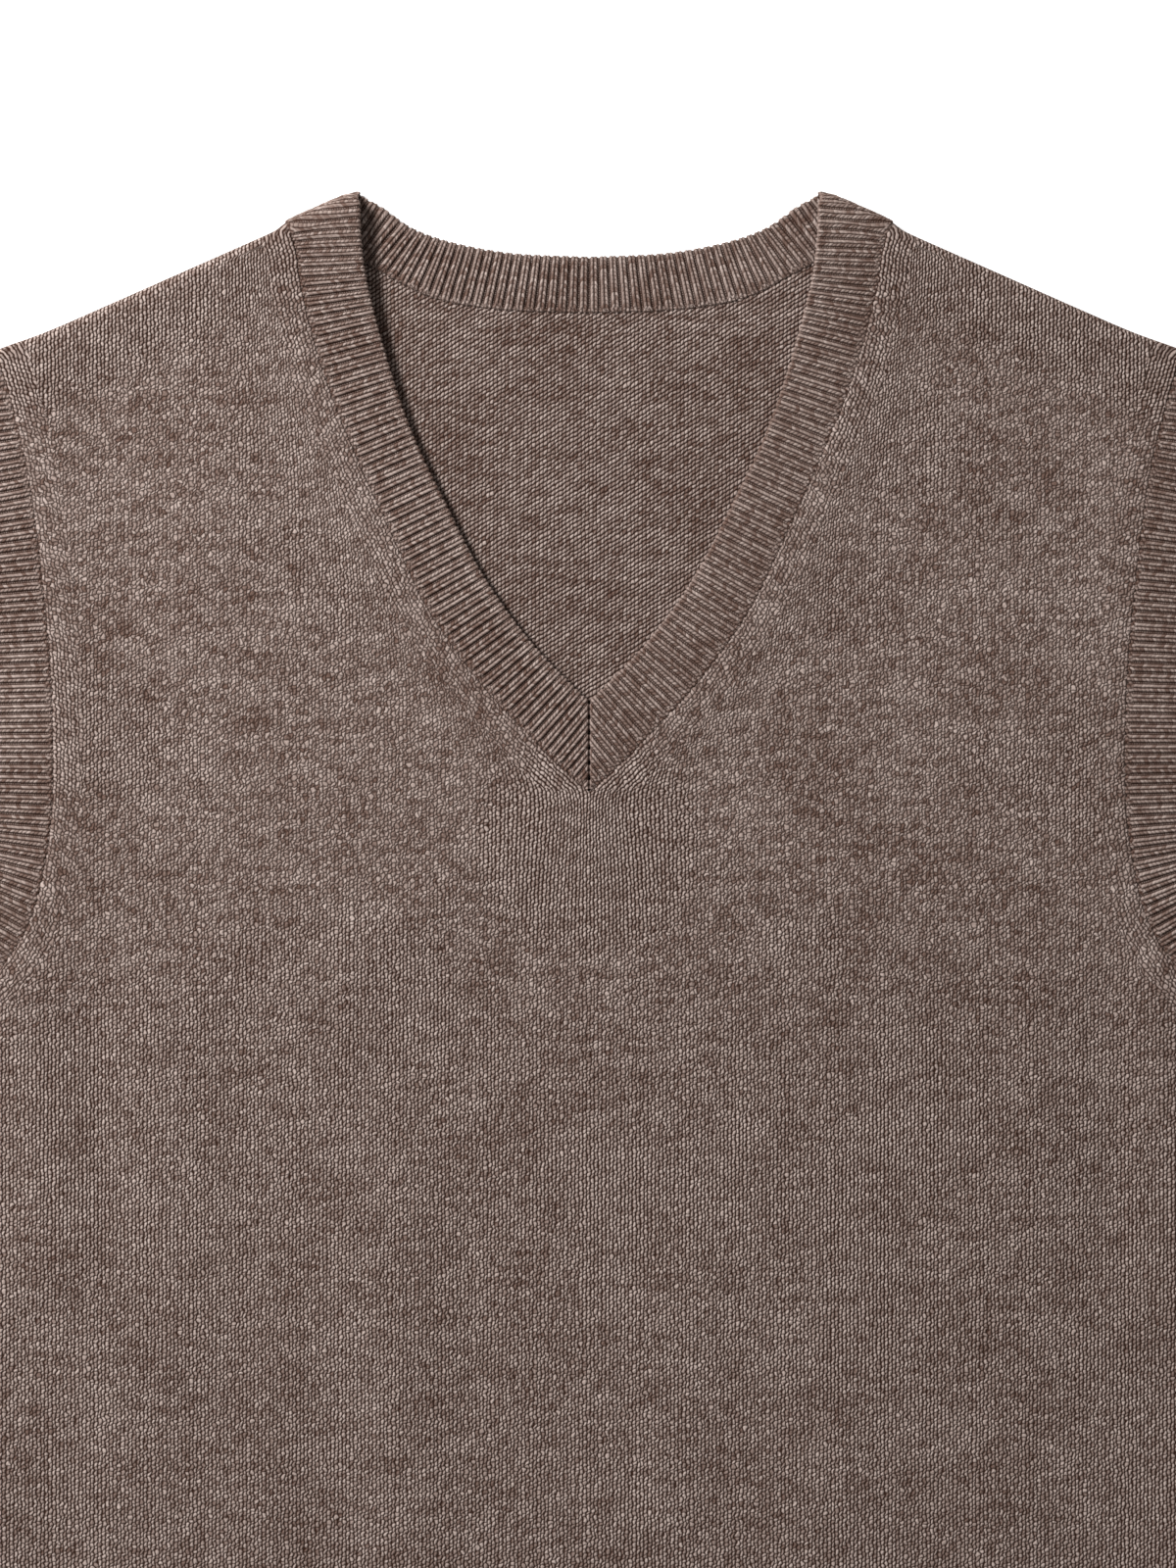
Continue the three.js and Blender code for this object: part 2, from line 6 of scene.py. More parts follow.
import bmesh
import bpy
import numpy as np
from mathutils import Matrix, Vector


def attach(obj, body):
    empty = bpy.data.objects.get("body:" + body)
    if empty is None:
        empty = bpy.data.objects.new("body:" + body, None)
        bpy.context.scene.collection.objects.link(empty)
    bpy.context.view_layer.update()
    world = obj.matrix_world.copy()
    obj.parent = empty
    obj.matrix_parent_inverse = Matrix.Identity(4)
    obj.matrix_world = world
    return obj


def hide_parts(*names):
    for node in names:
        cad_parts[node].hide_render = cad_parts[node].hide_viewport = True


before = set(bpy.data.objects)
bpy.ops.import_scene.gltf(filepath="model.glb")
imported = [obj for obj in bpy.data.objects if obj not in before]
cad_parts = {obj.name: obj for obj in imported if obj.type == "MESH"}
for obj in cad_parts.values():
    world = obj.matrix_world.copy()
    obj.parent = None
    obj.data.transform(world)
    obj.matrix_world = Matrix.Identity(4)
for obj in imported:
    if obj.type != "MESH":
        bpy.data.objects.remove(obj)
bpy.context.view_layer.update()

MILLIMETRE = 0.001

# Cloth
JERSEY_THICKNESS = 1.8
RIB_THICKNESS = 2.6
RIB_DEPTH = 0.85
MITRE_GAP = 0.3             # between the neck band's two ends, at the centre front
WALE = 2.77                 # width of one column of stitches
COURSE = 1.66               # height of one row of stitches

# Shoulder line, side line and hem, as seen from above
SHOULDER_NECK = np.array([109.0, 318.6])
SHOULDER_TIP = np.array([215.3, 271.7])
SIDE_LINE = np.array([[248, 26], [250, 0], [250, -60], [248.5, -160], [246, -265]], float)
HEM_SEAM_Y = -265.0
HEM_EDGE_Y = -330.9
HEM_EDGE_HALF_WIDTH = 239.0

# Rails of the bands: columns are the free edge's x and y, then the seam edge's x and y
NECK_BAND_WIDTH_AT_FOLD = 27.0
NECK_FRONT_RAILS = np.array([
    [82.4, 315.3, 105.5, 308.2],
    [80.7, 300.6, 103.7, 295.6],
    [73.6, 272.0, 95.8, 265.7],
    [64.2, 244.0, 84.1, 235.6],
    [51.6, 217.3, 71.4, 207.6],
    [37.9, 191.1, 57.7, 179.4],
    [20.6, 167.2, 38.4, 152.4],
    [0, 146.1, 15.4, 127.7],
])
NECK_TIP_Y = 113.1
NECK_BACK_RAILS = np.array([
    [75.2, 324.2, 91.0, 310.0],
    [64.3, 317.9, 76.5, 302.8],
    [50.0, 313.0, 57.2, 293.1],
    [28.8, 309.1, 33.0, 288.7],
    [0, 307.6, 0, 287.4],
])
ARMHOLE_BAND_WIDTH = 24.0
ARMHOLE_RAILS = np.array([
    [233.4, 250.5, 209.8, 254.2],
    [227.1, 222.2, 203.6, 227.0],
    [223.1, 190.8, 199.2, 193.3],
    [220.0, 159.0, 196.0, 160.0],
    [218.9, 126.0, 194.9, 125.9],
    [220.2, 99.4, 196.3, 97.0],
    [224.5, 78.0, 203.0, 67.0],
    [232.0, 62.5, 214.5, 48.5],
    [238.8, 54.5, 230.0, 34.5],
])

# Steps along the rails, and ribs in one step
NECK_FRONT_STEPS, NECK_FRONT_RIBS = 14, 4
NECK_MITRE_STEPS, NECK_MITRE_RIBS = 2, 3
NECK_BACK_STEPS, NECK_BACK_RIBS = 9, 3
ARMHOLE_STEPS, ARMHOLE_RIBS = 22, 3
HEM_STEPS, HEM_RIBS = 13, 5
FOLD_RIBS = 4
UNDERARM_CENTRE_Y = 40.0
RAIL_SAMPLES = 600
RIB_PITCH = 3.77

# Heights of the front layer's middle surface
REST_HEIGHT = 3.25
SHOULDER_HEIGHT_NECK = 7.8
SHOULDER_HEIGHT_TIP = 6.0
SHOULDER_EASE = 0.7
SIDE_HEIGHT = 5.0
NECK_EDGE_LIFT = 1.4
BAND_FREE_HEIGHT = 4.3
FOLD_RISE, FOLD_REACH = 1.6, 28.0
BAND_RISE, BAND_REACH = 1.1, 20.0
NECK_RISE, NECK_REACH = 2.0, 75.0
NECK_RISE_AT = np.array([96.0, 322.0])
NECK_FOLD_PROUD = (0.3, 1.9)                # how far the bands stand out at the fold: free end, seam end
ARMHOLE_FOLD_PROUD = (1.4, 1.4)
PANEL_PROUD, PANEL_PROUD_REACH = 1.2, 3.5   # the panel swells towards the neck band at the shoulder fold
TIP_PROUD, TIP_PROUD_REACH = 1.4, 14.0      # and towards the armhole band
BACK_EDGE_SWELL = (3.9, 1.8)                # the back neck's free edge at the fold: outwards, towards the centre
BACK_EDGE_REACH = 7.0
FOLD_CURL, CURL_REACH = 1.3, 3.0            # the free edge curls in at the crest of the fold
FOLD_SKEW = 2.4                             # ribs by which the free edge runs ahead of the seam at the fold
FREE_EDGE_EASE_ARMHOLE = 0.15
FREE_EDGE_EASE_HEM = 0.06
EDGE_BLEND = 14.0           # over this length the front layer's height meets a fold's height
SEAM_TUCK, SEAM_TUCK_REACH = 0.15, 2.6
FLOW_DEPTH, FLOW_REACH = 6.0, 17.0      # how far the wales bend round the tip of the V
FLOW_SOFTNESS = 4.0
GATHER, GATHER_ACROSS, GATHER_ALONG = 0.28, 20.0, 30.0  # the wales draw together under the tip

# Soft folds of the laid front: from x and y, to x and y, height, half width
CREASES = np.array([
    [-203, 40, -196, -60, 1.3, 15],
    [-158, 30, -150, -90, 0.9, 17],
    [206, 44, 212, -70, 1.4, 15],
    [168, 52, 160, -40, 0.7, 18],
    [-72, -40, -66, -170, 1.0, 18],
    [84, -130, 92, -225, 0.8, 20],
    [30, 105, 120, 62, 0.6, 18],
    [-26, 92, -88, 48, 0.45, 12],
    [-181, 34, -176, -36, -0.35, 7],
    [189, 40, 190, -46, -0.35, 7],
    [-45, -50, -40, -108, -0.3, 9],
    [132, 236, 176, 150, 0.4, 16],
    [-128, 250, -150, 168, 0.45, 14],
    [-112, -96, -128, -210, 0.5, 13],
    [38, -60, 30, -150, 0.4, 12],
    [146, -150, 160, -240, 0.5, 14],
    [-212, -120, -206, -232, 0.6, 13],
    [218, -130, 210, -226, 0.5, 12],
    [-12, -180, 6, -246, 0.35, 13],
    [-2, 106, 3, 80, 0.45, 10],
])

# Grids
PANEL_ROWS_PER_STEP = 5
PANEL_COLUMNS = 80
PANEL_BODY_ROWS = 100
BACK_COLUMNS = 56
BACK_BODY_ROWS = 64
BACK_NECK_STEPS = 4         # steps of the armhole that the back neck's rows take
ROLL_STEPS = 8
SECTIONS_PER_RIB = 12
BAND_ROWS = 16
LIP_STEPS = 5


# Plain helpers

def unit(vectors):
    return vectors / np.linalg.norm(vectors, axis=-1, keepdims=True)


def left_of(directions):
    return np.stack([-directions[..., 1], directions[..., 0]], axis=-1)


def bell(distance, reach):
    return np.exp(-((distance / reach) ** 2))


def smooth_step(share):
    share = np.clip(share, 0, 1)
    return share * share * (3 - 2 * share)


def smooth_max(values, floor, softness=0.25):
    return floor + softness * np.logaddexp(0, (values - floor) / softness)


def lerp(a, b, t):
    return a + (b - a) * t


def with_height(points, heights):
    heights = np.broadcast_to(np.asarray(heights, float), points.shape[:-1])
    return np.concatenate([points, heights[..., None]], axis=-1)


def catmull_rom(points, samples):
    """Centripetal curve through the points, at even parameters."""
    ends = [2 * points[0] - points[1], 2 * points[-1] - points[-2]]
    padded = np.vstack([ends[0], points, ends[1]])
    spans = np.linalg.norm(np.diff(padded, axis=0), axis=1) ** 0.5
    place = np.linspace(0, len(points) - 1, samples)
    k = np.minimum(place.astype(int), len(points) - 2)
    t = (place - k)[:, None]
    p0, p1, p2, p3 = (padded[k + n] for n in range(4))
    d0, d1, d2 = (spans[k + n][:, None] for n in range(3))
    start = ((p1 - p0) / d0 - (p2 - p0) / (d0 + d1) + (p2 - p1) / d1) * d1
    end = ((p2 - p1) / d1 - (p3 - p1) / (d1 + d2) + (p3 - p2) / d2) * d1
    square = -3 * p1 + 3 * p2 - 2 * start - end
    cube = 2 * p1 - 2 * p2 + start + end
    return p1 + start * t + square * t ** 2 + cube * t ** 3


class Line:
    """A dense line in plan, read at any place along its steps."""

    def __init__(self, points, last_step):
        self.points = points
        self.places = np.linspace(0, last_step, len(points))

    def at(self, place):
        return np.stack([np.interp(place, self.places, self.points[:, k]) for k in range(2)], axis=-1)


def even_rails(ends, rows, count):
    """Free and seam rails through the rows, with places that are even along the band's middle."""
    pairs = np.vstack([ends[:1], rows, ends[1:]])
    rails = catmull_rom(pairs, RAIL_SAMPLES)
    middle = (rails[:, :2] + rails[:, 2:]) / 2
    lengths = np.concatenate([[0], np.cumsum(np.linalg.norm(np.diff(middle, axis=0), axis=1))])
    wanted = np.linspace(0, lengths[-1], RAIL_SAMPLES)
    even = np.stack([np.interp(wanted, lengths, rails[:, k]) for k in range(4)], axis=-1)
    return Line(even[:, :2], count), Line(even[:, 2:], count)


def nearest_on_line(points, line):
    """Distance from each point to the line, and how far along the line the nearest spot is."""
    start, span = line[:-1], np.diff(line, axis=0)
    length = np.linalg.norm(span, axis=1)
    before = np.concatenate([[0], np.cumsum(length)[:-1]])
    best = np.full(len(points), np.inf)
    along = np.zeros(len(points))
    for a, d, size, offset in zip(start, span, length, before):
        share = np.clip(((points - a) @ d) / size ** 2, 0, 1)
        gap = np.linalg.norm(points - a - share[:, None] * d, axis=1)
        nearer = gap < best
        best[nearer] = gap[nearer]
        along[nearer] = (offset + share * size)[nearer]
    return best, along


# Folds at the shoulders and sides

SHOULDER_ALONG = unit(SHOULDER_TIP - SHOULDER_NECK)
SHOULDER_OUT = left_of(SHOULDER_ALONG)
BACK_SWELL = SHOULDER_OUT * BACK_EDGE_SWELL[0] - SHOULDER_ALONG * BACK_EDGE_SWELL[1]


def fold_radius(height, thickness):
    return (height - thickness / 2) / 2


def fold_inset(height):
    return fold_radius(height, JERSEY_THICKNESS) + JERSEY_THICKNESS / 2


def shoulder_start(t):
    height = lerp(SHOULDER_HEIGHT_NECK, SHOULDER_HEIGHT_TIP, np.asarray(t, float) ** SHOULDER_EASE)
    edge = lerp(SHOULDER_NECK, SHOULDER_TIP, np.asarray(t, float)[..., None])
    return edge - SHOULDER_OUT * fold_inset(height)[..., None], height


def side_x(y):
    return np.interp(-np.asarray(y, float), -SIDE_LINE[:, 1], SIDE_LINE[:, 0])


def side_start(y):
    y = np.asarray(y, float)
    upper = np.minimum(y + 8, SIDE_LINE[0, 1])
    lower = np.maximum(y - 8, HEM_SEAM_Y)
    tangent = unit(np.stack([side_x(lower) - side_x(upper), lower - upper], axis=-1))
    out = left_of(tangent)
    out = np.where(out[..., :1] < 0, -out, out)
    base = np.stack([side_x(y), y], axis=-1) - out * fold_inset(SIDE_HEIGHT)
    return base, out


def rolled(base, out, height, thickness, degrees):
    """Points and normals round a fold, from the top layer at 0 degrees to the bottom one at 180."""
    radius = fold_radius(np.asarray(height, float), thickness)[..., None]
    angle = np.radians(np.asarray(degrees, float))[..., None]
    flat = np.concatenate([np.broadcast_to(out, base.shape), np.zeros(base.shape[:-1] + (1,))], axis=-1)
    normal = flat * np.sin(angle) + np.array([0, 0, 1.0]) * np.cos(angle)
    centre = with_height(base, thickness / 2 + radius[..., 0])
    return centre + normal * radius, normal


# Seam lines of the wearer's left half

def band_start(base, direction, width):
    return np.concatenate([base + direction * width, base])


NECK_FOLD_BASE = shoulder_start(0.0)[0]
TIP_FOLD_BASE = shoulder_start(1.0)[0]
UNDERARM_BASE, UNDERARM_OUT = side_start(SIDE_LINE[0, 1])

NECK_START = band_start(NECK_FOLD_BASE, -SHOULDER_ALONG, NECK_BAND_WIDTH_AT_FOLD)
ARMHOLE_START = band_start(TIP_FOLD_BASE, SHOULDER_ALONG, ARMHOLE_BAND_WIDTH)
ARMHOLE_END = band_start(UNDERARM_BASE, left_of(UNDERARM_OUT), ARMHOLE_BAND_WIDTH)

NECK_FRONT_FREE, NECK_FRONT_SEAM = even_rails(NECK_START[None], NECK_FRONT_RAILS, NECK_FRONT_STEPS)
NECK_BACK_FREE, NECK_BACK_SEAM = even_rails(NECK_START[None], NECK_BACK_RAILS, NECK_BACK_STEPS)
ARMHOLE_FREE, ARMHOLE_SEAM = even_rails(
    np.vstack([ARMHOLE_START, ARMHOLE_END]), ARMHOLE_RAILS, ARMHOLE_STEPS)

NECK_ROWS = NECK_FRONT_STEPS + NECK_MITRE_STEPS
NECK_TIP = np.array([0, NECK_TIP_Y])


def with_mitre(seam):
    """The front neck seam, carried on to the outer point of the V."""
    count = RAIL_SAMPLES * NECK_MITRE_STEPS // NECK_FRONT_STEPS
    extra = lerp(seam.points[-1], NECK_TIP, np.linspace(0, 1, count + 1)[1:, None])
    line = Line(np.vstack([seam.points, extra]), NECK_ROWS)
    line.places = np.concatenate([
        np.linspace(0, NECK_FRONT_STEPS, RAIL_SAMPLES),
        lerp(NECK_FRONT_STEPS, NECK_ROWS, np.linspace(0, 1, count + 1)[1:]),
    ])
    return line


NECK_FRONT_WHOLE = with_mitre(NECK_FRONT_SEAM)
HALF_MITRE = MITRE_GAP / 2

SEAM_STRIDE = 6             # the height field reads every sixth point of a seam
NECK_SEAM_POINTS = NECK_FRONT_WHOLE.points[::SEAM_STRIDE]
BACK_NECK_SEAM_POINTS = NECK_BACK_SEAM.points[::SEAM_STRIDE]
ARMHOLE_SEAM_POINTS = ARMHOLE_SEAM.points[::SEAM_STRIDE]


# Height of the front layer

def crease_height(points):
    total = np.zeros(len(points))
    for x0, y0, x1, y1, height, half_width in CREASES:
        distance, along = nearest_on_line(points, np.array([[x0, y0], [x1, y1]]))
        total += height * bell(distance, half_width)
    return total


def front_height(points):
    half = np.abs(points) * np.array([1, 0]) + points * np.array([0, 1])
    shoulder = (SHOULDER_NECK - half) @ SHOULDER_OUT
    side = np.where(points[:, 1] < SIDE_LINE[0, 1], side_x(points[:, 1]) - half[:, 0], np.inf)
    fold = np.maximum(np.minimum(shoulder, side) - fold_inset(SIDE_HEIGHT), 0)
    neck, _ = nearest_on_line(half, NECK_SEAM_POINTS)
    armhole, _ = nearest_on_line(half, ARMHOLE_SEAM_POINTS)
    seam = np.minimum(np.minimum(neck, armhole), np.abs(points[:, 1] - HEM_SEAM_Y))
    rise = (
        FOLD_RISE * bell(fold, FOLD_REACH)
        + BAND_RISE * bell(seam, BAND_REACH)
        + NECK_RISE * bell(np.linalg.norm(half - NECK_RISE_AT, axis=1), NECK_REACH)
    )
    return REST_HEIGHT + rise + crease_height(points)


def grid_height(points):
    return front_height(points.reshape(-1, 2)).reshape(points.shape[:-1])


# Coordinates of the knit: wales across, courses along

FAR = 999.0


def knit_place(points):
    return np.stack([points[..., 0] / WALE, points[..., 1] / COURSE], axis=-1)


def flowing_knit_place(points):
    """The same, with wales that bend round the tip of the V."""
    half, y = np.abs(points[..., 0]), points[..., 1]
    seam_x = np.mean([np.interp(y + step, NECK_SEAM_POINTS[::-1, 1], NECK_SEAM_POINTS[::-1, 0])
                      for step in np.linspace(-FLOW_SOFTNESS, FLOW_SOFTNESS, 7)], axis=0)
    flow = FLOW_DEPTH * np.tanh(seam_x / FLOW_DEPTH) * bell(half - seam_x, FLOW_REACH)
    flow = flow * smooth_step(half / FLOW_SOFTNESS)
    gather = half * GATHER * bell(half, GATHER_ACROSS) * bell(y - NECK_TIP_Y, GATHER_ALONG)
    return np.stack([np.sign(points[..., 0]) * (half - flow + gather) / WALE, y / COURSE], axis=-1)


def edge_place(points, seams):
    """Wales away from the nearest shaped seam, and courses along it."""
    flat = points.reshape(-1, 2)
    half = np.stack([np.abs(flat[:, 0]), flat[:, 1]], axis=-1)
    best = np.full(len(half), FAR)
    along = np.zeros(len(half))
    for seam in seams:
        distance, run = nearest_on_line(half, seam)
        if seam is NECK_SEAM_POINTS:
            distance = np.where(half[:, 1] < NECK_TIP_Y, FAR, distance)
        nearer = distance < best
        best[nearer] = distance[nearer]
        along[nearer] = run[nearer]
    return np.stack([best / WALE, along / COURSE], axis=-1).reshape(points.shape)


# Surfaces and walls

class Surface:
    """A middle surface made of grids, welded where they meet."""

    def __init__(self):
        self.points, self.normals, self.knit, self.edge, self.quads = [], [], [], [], []
        self.count = 0

    def add(self, points, normals, knit, edge):
        rows, columns = points.shape[:2]
        index = self.count + np.arange(rows * columns).reshape(rows, columns)
        quads = np.stack([index[:-1, :-1], index[:-1, 1:], index[1:, 1:], index[1:, :-1]], axis=-1)
        self.quads.append(quads.reshape(-1, 4))
        for held, values in ((self.points, points), (self.normals, normals),
                             (self.knit, knit), (self.edge, edge)):
            held.append(values.reshape(rows * columns, -1))
        self.count += rows * columns

    def welded(self):
        points = np.vstack(self.points)
        keys = np.round(points * 1000).astype(np.int64)
        _, first, back = np.unique(keys, axis=0, return_index=True, return_inverse=True)
        quads = back.reshape(-1)[np.vstack(self.quads)]
        facing = np.cross(points[first][quads[:, 2]] - points[first][quads[:, 0]],
                          points[first][quads[:, 3]] - points[first][quads[:, 1]])
        wanted = np.vstack(self.normals)[first][quads].sum(axis=1)
        flipped = (facing * wanted).sum(axis=1) < 0
        quads[flipped] = quads[flipped][:, ::-1]
        return points[first], quads, np.vstack(self.knit)[first], np.vstack(self.edge)[first]


def vertex_normals(points, quads):
    faces = np.cross(points[quads[:, 2]] - points[quads[:, 0]], points[quads[:, 3]] - points[quads[:, 1]])
    normals = np.zeros_like(points)
    for corner in range(4):
        np.add.at(normals, quads[:, corner], faces)
    return unit(normals)


def open_edges(quads):
    pairs = np.vstack([quads[:, [k, (k + 1) % 4]] for k in range(4)])
    scale = quads.max() + 1
    forward = pairs[:, 0] * scale + pairs[:, 1]
    backward = pairs[:, 1] * scale + pairs[:, 0]
    return pairs[~np.isin(forward, backward)]


def wall(surface, thickness):
    """Outer face, inner face and rim of a middle surface."""
    points, quads, knit, edge = surface.welded()
    normals = vertex_normals(points, quads)
    count = len(points)
    rim = open_edges(quads)
    faces = np.vstack([
        quads,
        quads[:, ::-1] + count,
        np.stack([rim[:, 1], rim[:, 0], rim[:, 0] + count, rim[:, 1] + count], axis=-1),
    ])
    kinds = np.concatenate([np.zeros(len(quads)), np.ones(len(quads)), np.zeros(len(rim))])
    both = np.vstack([points + normals * thickness / 2, points - normals * thickness / 2])
    return both, faces, kinds.astype(int), np.vstack([knit, knit]), np.vstack([edge, edge])


def mesh_object(name, points, faces, kinds, layers, materials):
    """layers is {uv map name: a place for each point}."""
    mesh = bpy.data.meshes.new(name)
    mesh.from_pydata((points * MILLIMETRE).tolist(), [], faces.tolist())
    corners = np.zeros(len(mesh.loops), np.int32)
    mesh.loops.foreach_get("vertex_index", corners)
    for layer_name, places in layers.items():
        layer = mesh.uv_layers.new(name=layer_name)
        layer.data.foreach_set("uv", places[corners].astype(np.float32).ravel())
    for material in materials:
        mesh.materials.append(material)
    mesh.polygons.foreach_set("material_index", kinds.astype(np.int32))
    mesh.polygons.foreach_set("use_smooth", np.ones(len(faces), bool))
    mesh.update()
    made = bpy.data.objects.new(name, mesh)
    bpy.context.scene.collection.objects.link(made)
    return made


# Panels

def mirrored_plan(points, sign):
    return points * np.array([sign, 1])


def fold_push(proud, degrees):
    """How far a fold stands out beyond its own radius at each angle."""
    return proud * smooth_step(np.minimum(degrees, 180 - degrees) / 40)


def roll_grid(surface, base, out, height, top, sign, seams, proud=0.0):
    """The quarter roll of one layer, from its flat part to the lip at the seam."""
    degrees = np.linspace(0, 90, ROLL_STEPS + 1) if top else np.linspace(180, 90, ROLL_STEPS + 1)
    proud = np.broadcast_to(np.asarray(proud, float), base.shape[:1])
    push = fold_push(proud[:, None], degrees[None])
    base = base[:, None] + push[..., None] * np.broadcast_to(out, base.shape)[:, None]
    height = np.broadcast_to(np.asarray(height, float), base.shape[:1])[:, None] + np.zeros(len(degrees))
    out = np.broadcast_to(out, (base.shape[0], 2))[:, None]
    angles = degrees[None] + np.zeros((base.shape[0], 1))
    points, normals = rolled(base, out, height, JERSEY_THICKNESS, angles)
    run = fold_radius(height, JERSEY_THICKNESS) * np.radians(degrees if top else 180 - degrees)
    unrolled = base + out * run[..., None]
    flip = np.array([sign, 1, 1])
    surface.add(points * flip, normals * flip,
                knit_place(mirrored_plan(unrolled, sign)), edge_place(unrolled, seams))


def side_rows(count):
    t = np.linspace(0, 1, count + 1)
    y = lerp(SIDE_LINE[0, 1], HEM_SEAM_Y, t)
    base, out = side_start(y)
    base[0] = ARMHOLE_SEAM.at(ARMHOLE_STEPS)
    base[-1, 1] = HEM_SEAM_Y
    return base, out, t


def shoulder_columns(count, neck_seam):
    t = np.linspace(0, 1, count + 1)
    base, height = shoulder_start(t)
    base[0] = neck_seam.at(0)
    base[-1] = ARMHOLE_SEAM.at(0)
    from_neck, from_tip = (np.linalg.norm(base - base[end], axis=1) for end in (0, -1))
    proud = PANEL_PROUD * bell(from_neck, PANEL_PROUD_REACH) + TIP_PROUD * bell(from_tip, TIP_PROUD_REACH)
    return base, height, proud


def panel_rows(columns, body_rows, inner_line):
    """Plan grid of the wearer's left half: rows run from the neck seam or centre line outwards."""
    places = np.linspace(0, ARMHOLE_STEPS, ARMHOLE_STEPS * PANEL_ROWS_PER_STEP + 1)
    inner = inner_line(places)
    outer = ARMHOLE_SEAM.at(places)
    side, _, t = side_rows(body_rows)
    centre = np.stack([0 * t, lerp(UNDERARM_CENTRE_Y, HEM_SEAM_Y, t)], axis=-1)
    inner = np.vstack([inner, centre[1:]])
    outer = np.vstack([outer, side[1:]])
    across = np.linspace(0, 1, columns + 1)[None, :, None]
    return lerp(inner[:, None], outer[:, None], across)


def front_inner_line(places):
    below = np.clip((places - NECK_ROWS) / (ARMHOLE_STEPS - NECK_ROWS), 0, 1)[:, None]
    tip = NECK_FRONT_WHOLE.at(NECK_ROWS) * np.array([0, 1])
    centre = lerp(tip, np.array([0, UNDERARM_CENTRE_Y]), below)
    return np.where(places[:, None] < NECK_ROWS, NECK_FRONT_WHOLE.at(places), centre)


def back_inner_line(places):
    below = np.clip((places - BACK_NECK_STEPS) / (ARMHOLE_STEPS - BACK_NECK_STEPS), 0, 1)[:, None]
    top = NECK_BACK_SEAM.at(NECK_BACK_STEPS) * np.array([0, 1])
    centre = lerp(top, np.array([0, UNDERARM_CENTRE_Y]), below)
    seam = NECK_BACK_SEAM.at(places * NECK_BACK_STEPS / BACK_NECK_STEPS)
    return np.where(places[:, None] < BACK_NECK_STEPS, seam, centre)


def seam_tuck(points, seams):
    """How far the cloth dips where it is sewn to a band."""
    flat = points.reshape(-1, 2)
    half = np.stack([np.abs(flat[:, 0]), flat[:, 1]], axis=-1)
    gap = np.abs(flat[:, 1] - HEM_SEAM_Y)
    for seam in seams:
        gap = np.minimum(gap, nearest_on_line(half, seam)[0])
    return (SEAM_TUCK * bell(gap, SEAM_TUCK_REACH)).reshape(points.shape[:-1])


def front_panel_surface():
    surface = Surface()
    seams = [NECK_SEAM_POINTS, ARMHOLE_SEAM_POINTS]
    half = panel_rows(PANEL_COLUMNS, PANEL_BODY_ROWS, front_inner_line)
    top_base, top_height, proud = shoulder_columns(PANEL_COLUMNS, NECK_FRONT_WHOLE)
    half[0] = top_base
    side, side_out, _ = side_rows(PANEL_BODY_ROWS)
    body = slice(ARMHOLE_STEPS * PANEL_ROWS_PER_STEP, None)
    upward = np.array([0, 0, 1.0])
    for sign in (1, -1):
        plan = mirrored_plan(half, sign)
        height = grid_height(plan) - seam_tuck(plan, seams)
        from_shoulder = (SHOULDER_NECK - half) @ SHOULDER_OUT - fold_inset(SHOULDER_HEIGHT_TIP)
        height += (top_height - height[0])[None] * bell(np.maximum(from_shoulder, 0), EDGE_BLEND)
        from_side = np.linalg.norm(half[body] - half[body][:, -1:], axis=-1)
        height[body] += (SIDE_HEIGHT - height[body][:, -1:]) * bell(from_side, EDGE_BLEND)
        height[0] = top_height
        height[body, -1] = SIDE_HEIGHT
        points = with_height(plan, height)
        surface.add(points, np.broadcast_to(upward, points.shape),
                    flowing_knit_place(plan), edge_place(half, seams))
        roll_grid(surface, side, side_out, SIDE_HEIGHT, True, sign, seams)
        roll_grid(surface, top_base, SHOULDER_OUT, top_height, True, sign, seams, proud)
    return surface


def back_panel_surface():
    surface = Surface()
    seams = [BACK_NECK_SEAM_POINTS, ARMHOLE_SEAM_POINTS]
    half = panel_rows(BACK_COLUMNS, BACK_BODY_ROWS, back_inner_line)
    top_base, top_height, proud = shoulder_columns(BACK_COLUMNS, NECK_BACK_SEAM)
    half[0] = top_base
    side, side_out, _ = side_rows(BACK_BODY_ROWS)
    downward = np.array([0, 0, -1.0])
    for sign in (1, -1):
        plan = mirrored_plan(half, sign)
        points = with_height(plan, JERSEY_THICKNESS / 2)
        surface.add(points, np.broadcast_to(downward, points.shape), knit_place(plan), edge_place(half, seams))
        roll_grid(surface, side, side_out, SIDE_HEIGHT, False, sign, seams)
        roll_grid(surface, top_base, SHOULDER_OUT, top_height, False, sign, seams, proud)
    return surface


# Ribbed bands

PLAIN, OUTER_RIBS, INNER_RIBS = 0, 1, 2
RIB_TOP = RIB_THICKNESS / 2
RIB_TROUGH = RIB_THICKNESS / 2 - RIB_DEPTH
RIDGE_FOOT, RIDGE_SHOULDER = 0.42, 0.27     # share of a rib's pitch from its middle
GROOVE_WIDTH, GROOVE_DEPTH = 0.075, 0.42    # between the two legs of a rib's stitches
FREE_LIP = 1.3
SEAM_LIP = (0.1, 0.9)                       # how far a band reaches under the panel: in a trough, on a rib
SCALLOP = 0.55                              # the free edge stands back this much in the troughs
RIM_RELIEF, RIM_REACH, RIM_LEVEL = 0.30, 1.1, 0.8
SEAM_LEVEL, SEAM_REACH = (0.38, 0.74), 1.8  # levels at the seam: in a trough, on a rib
CROWN = 0.25


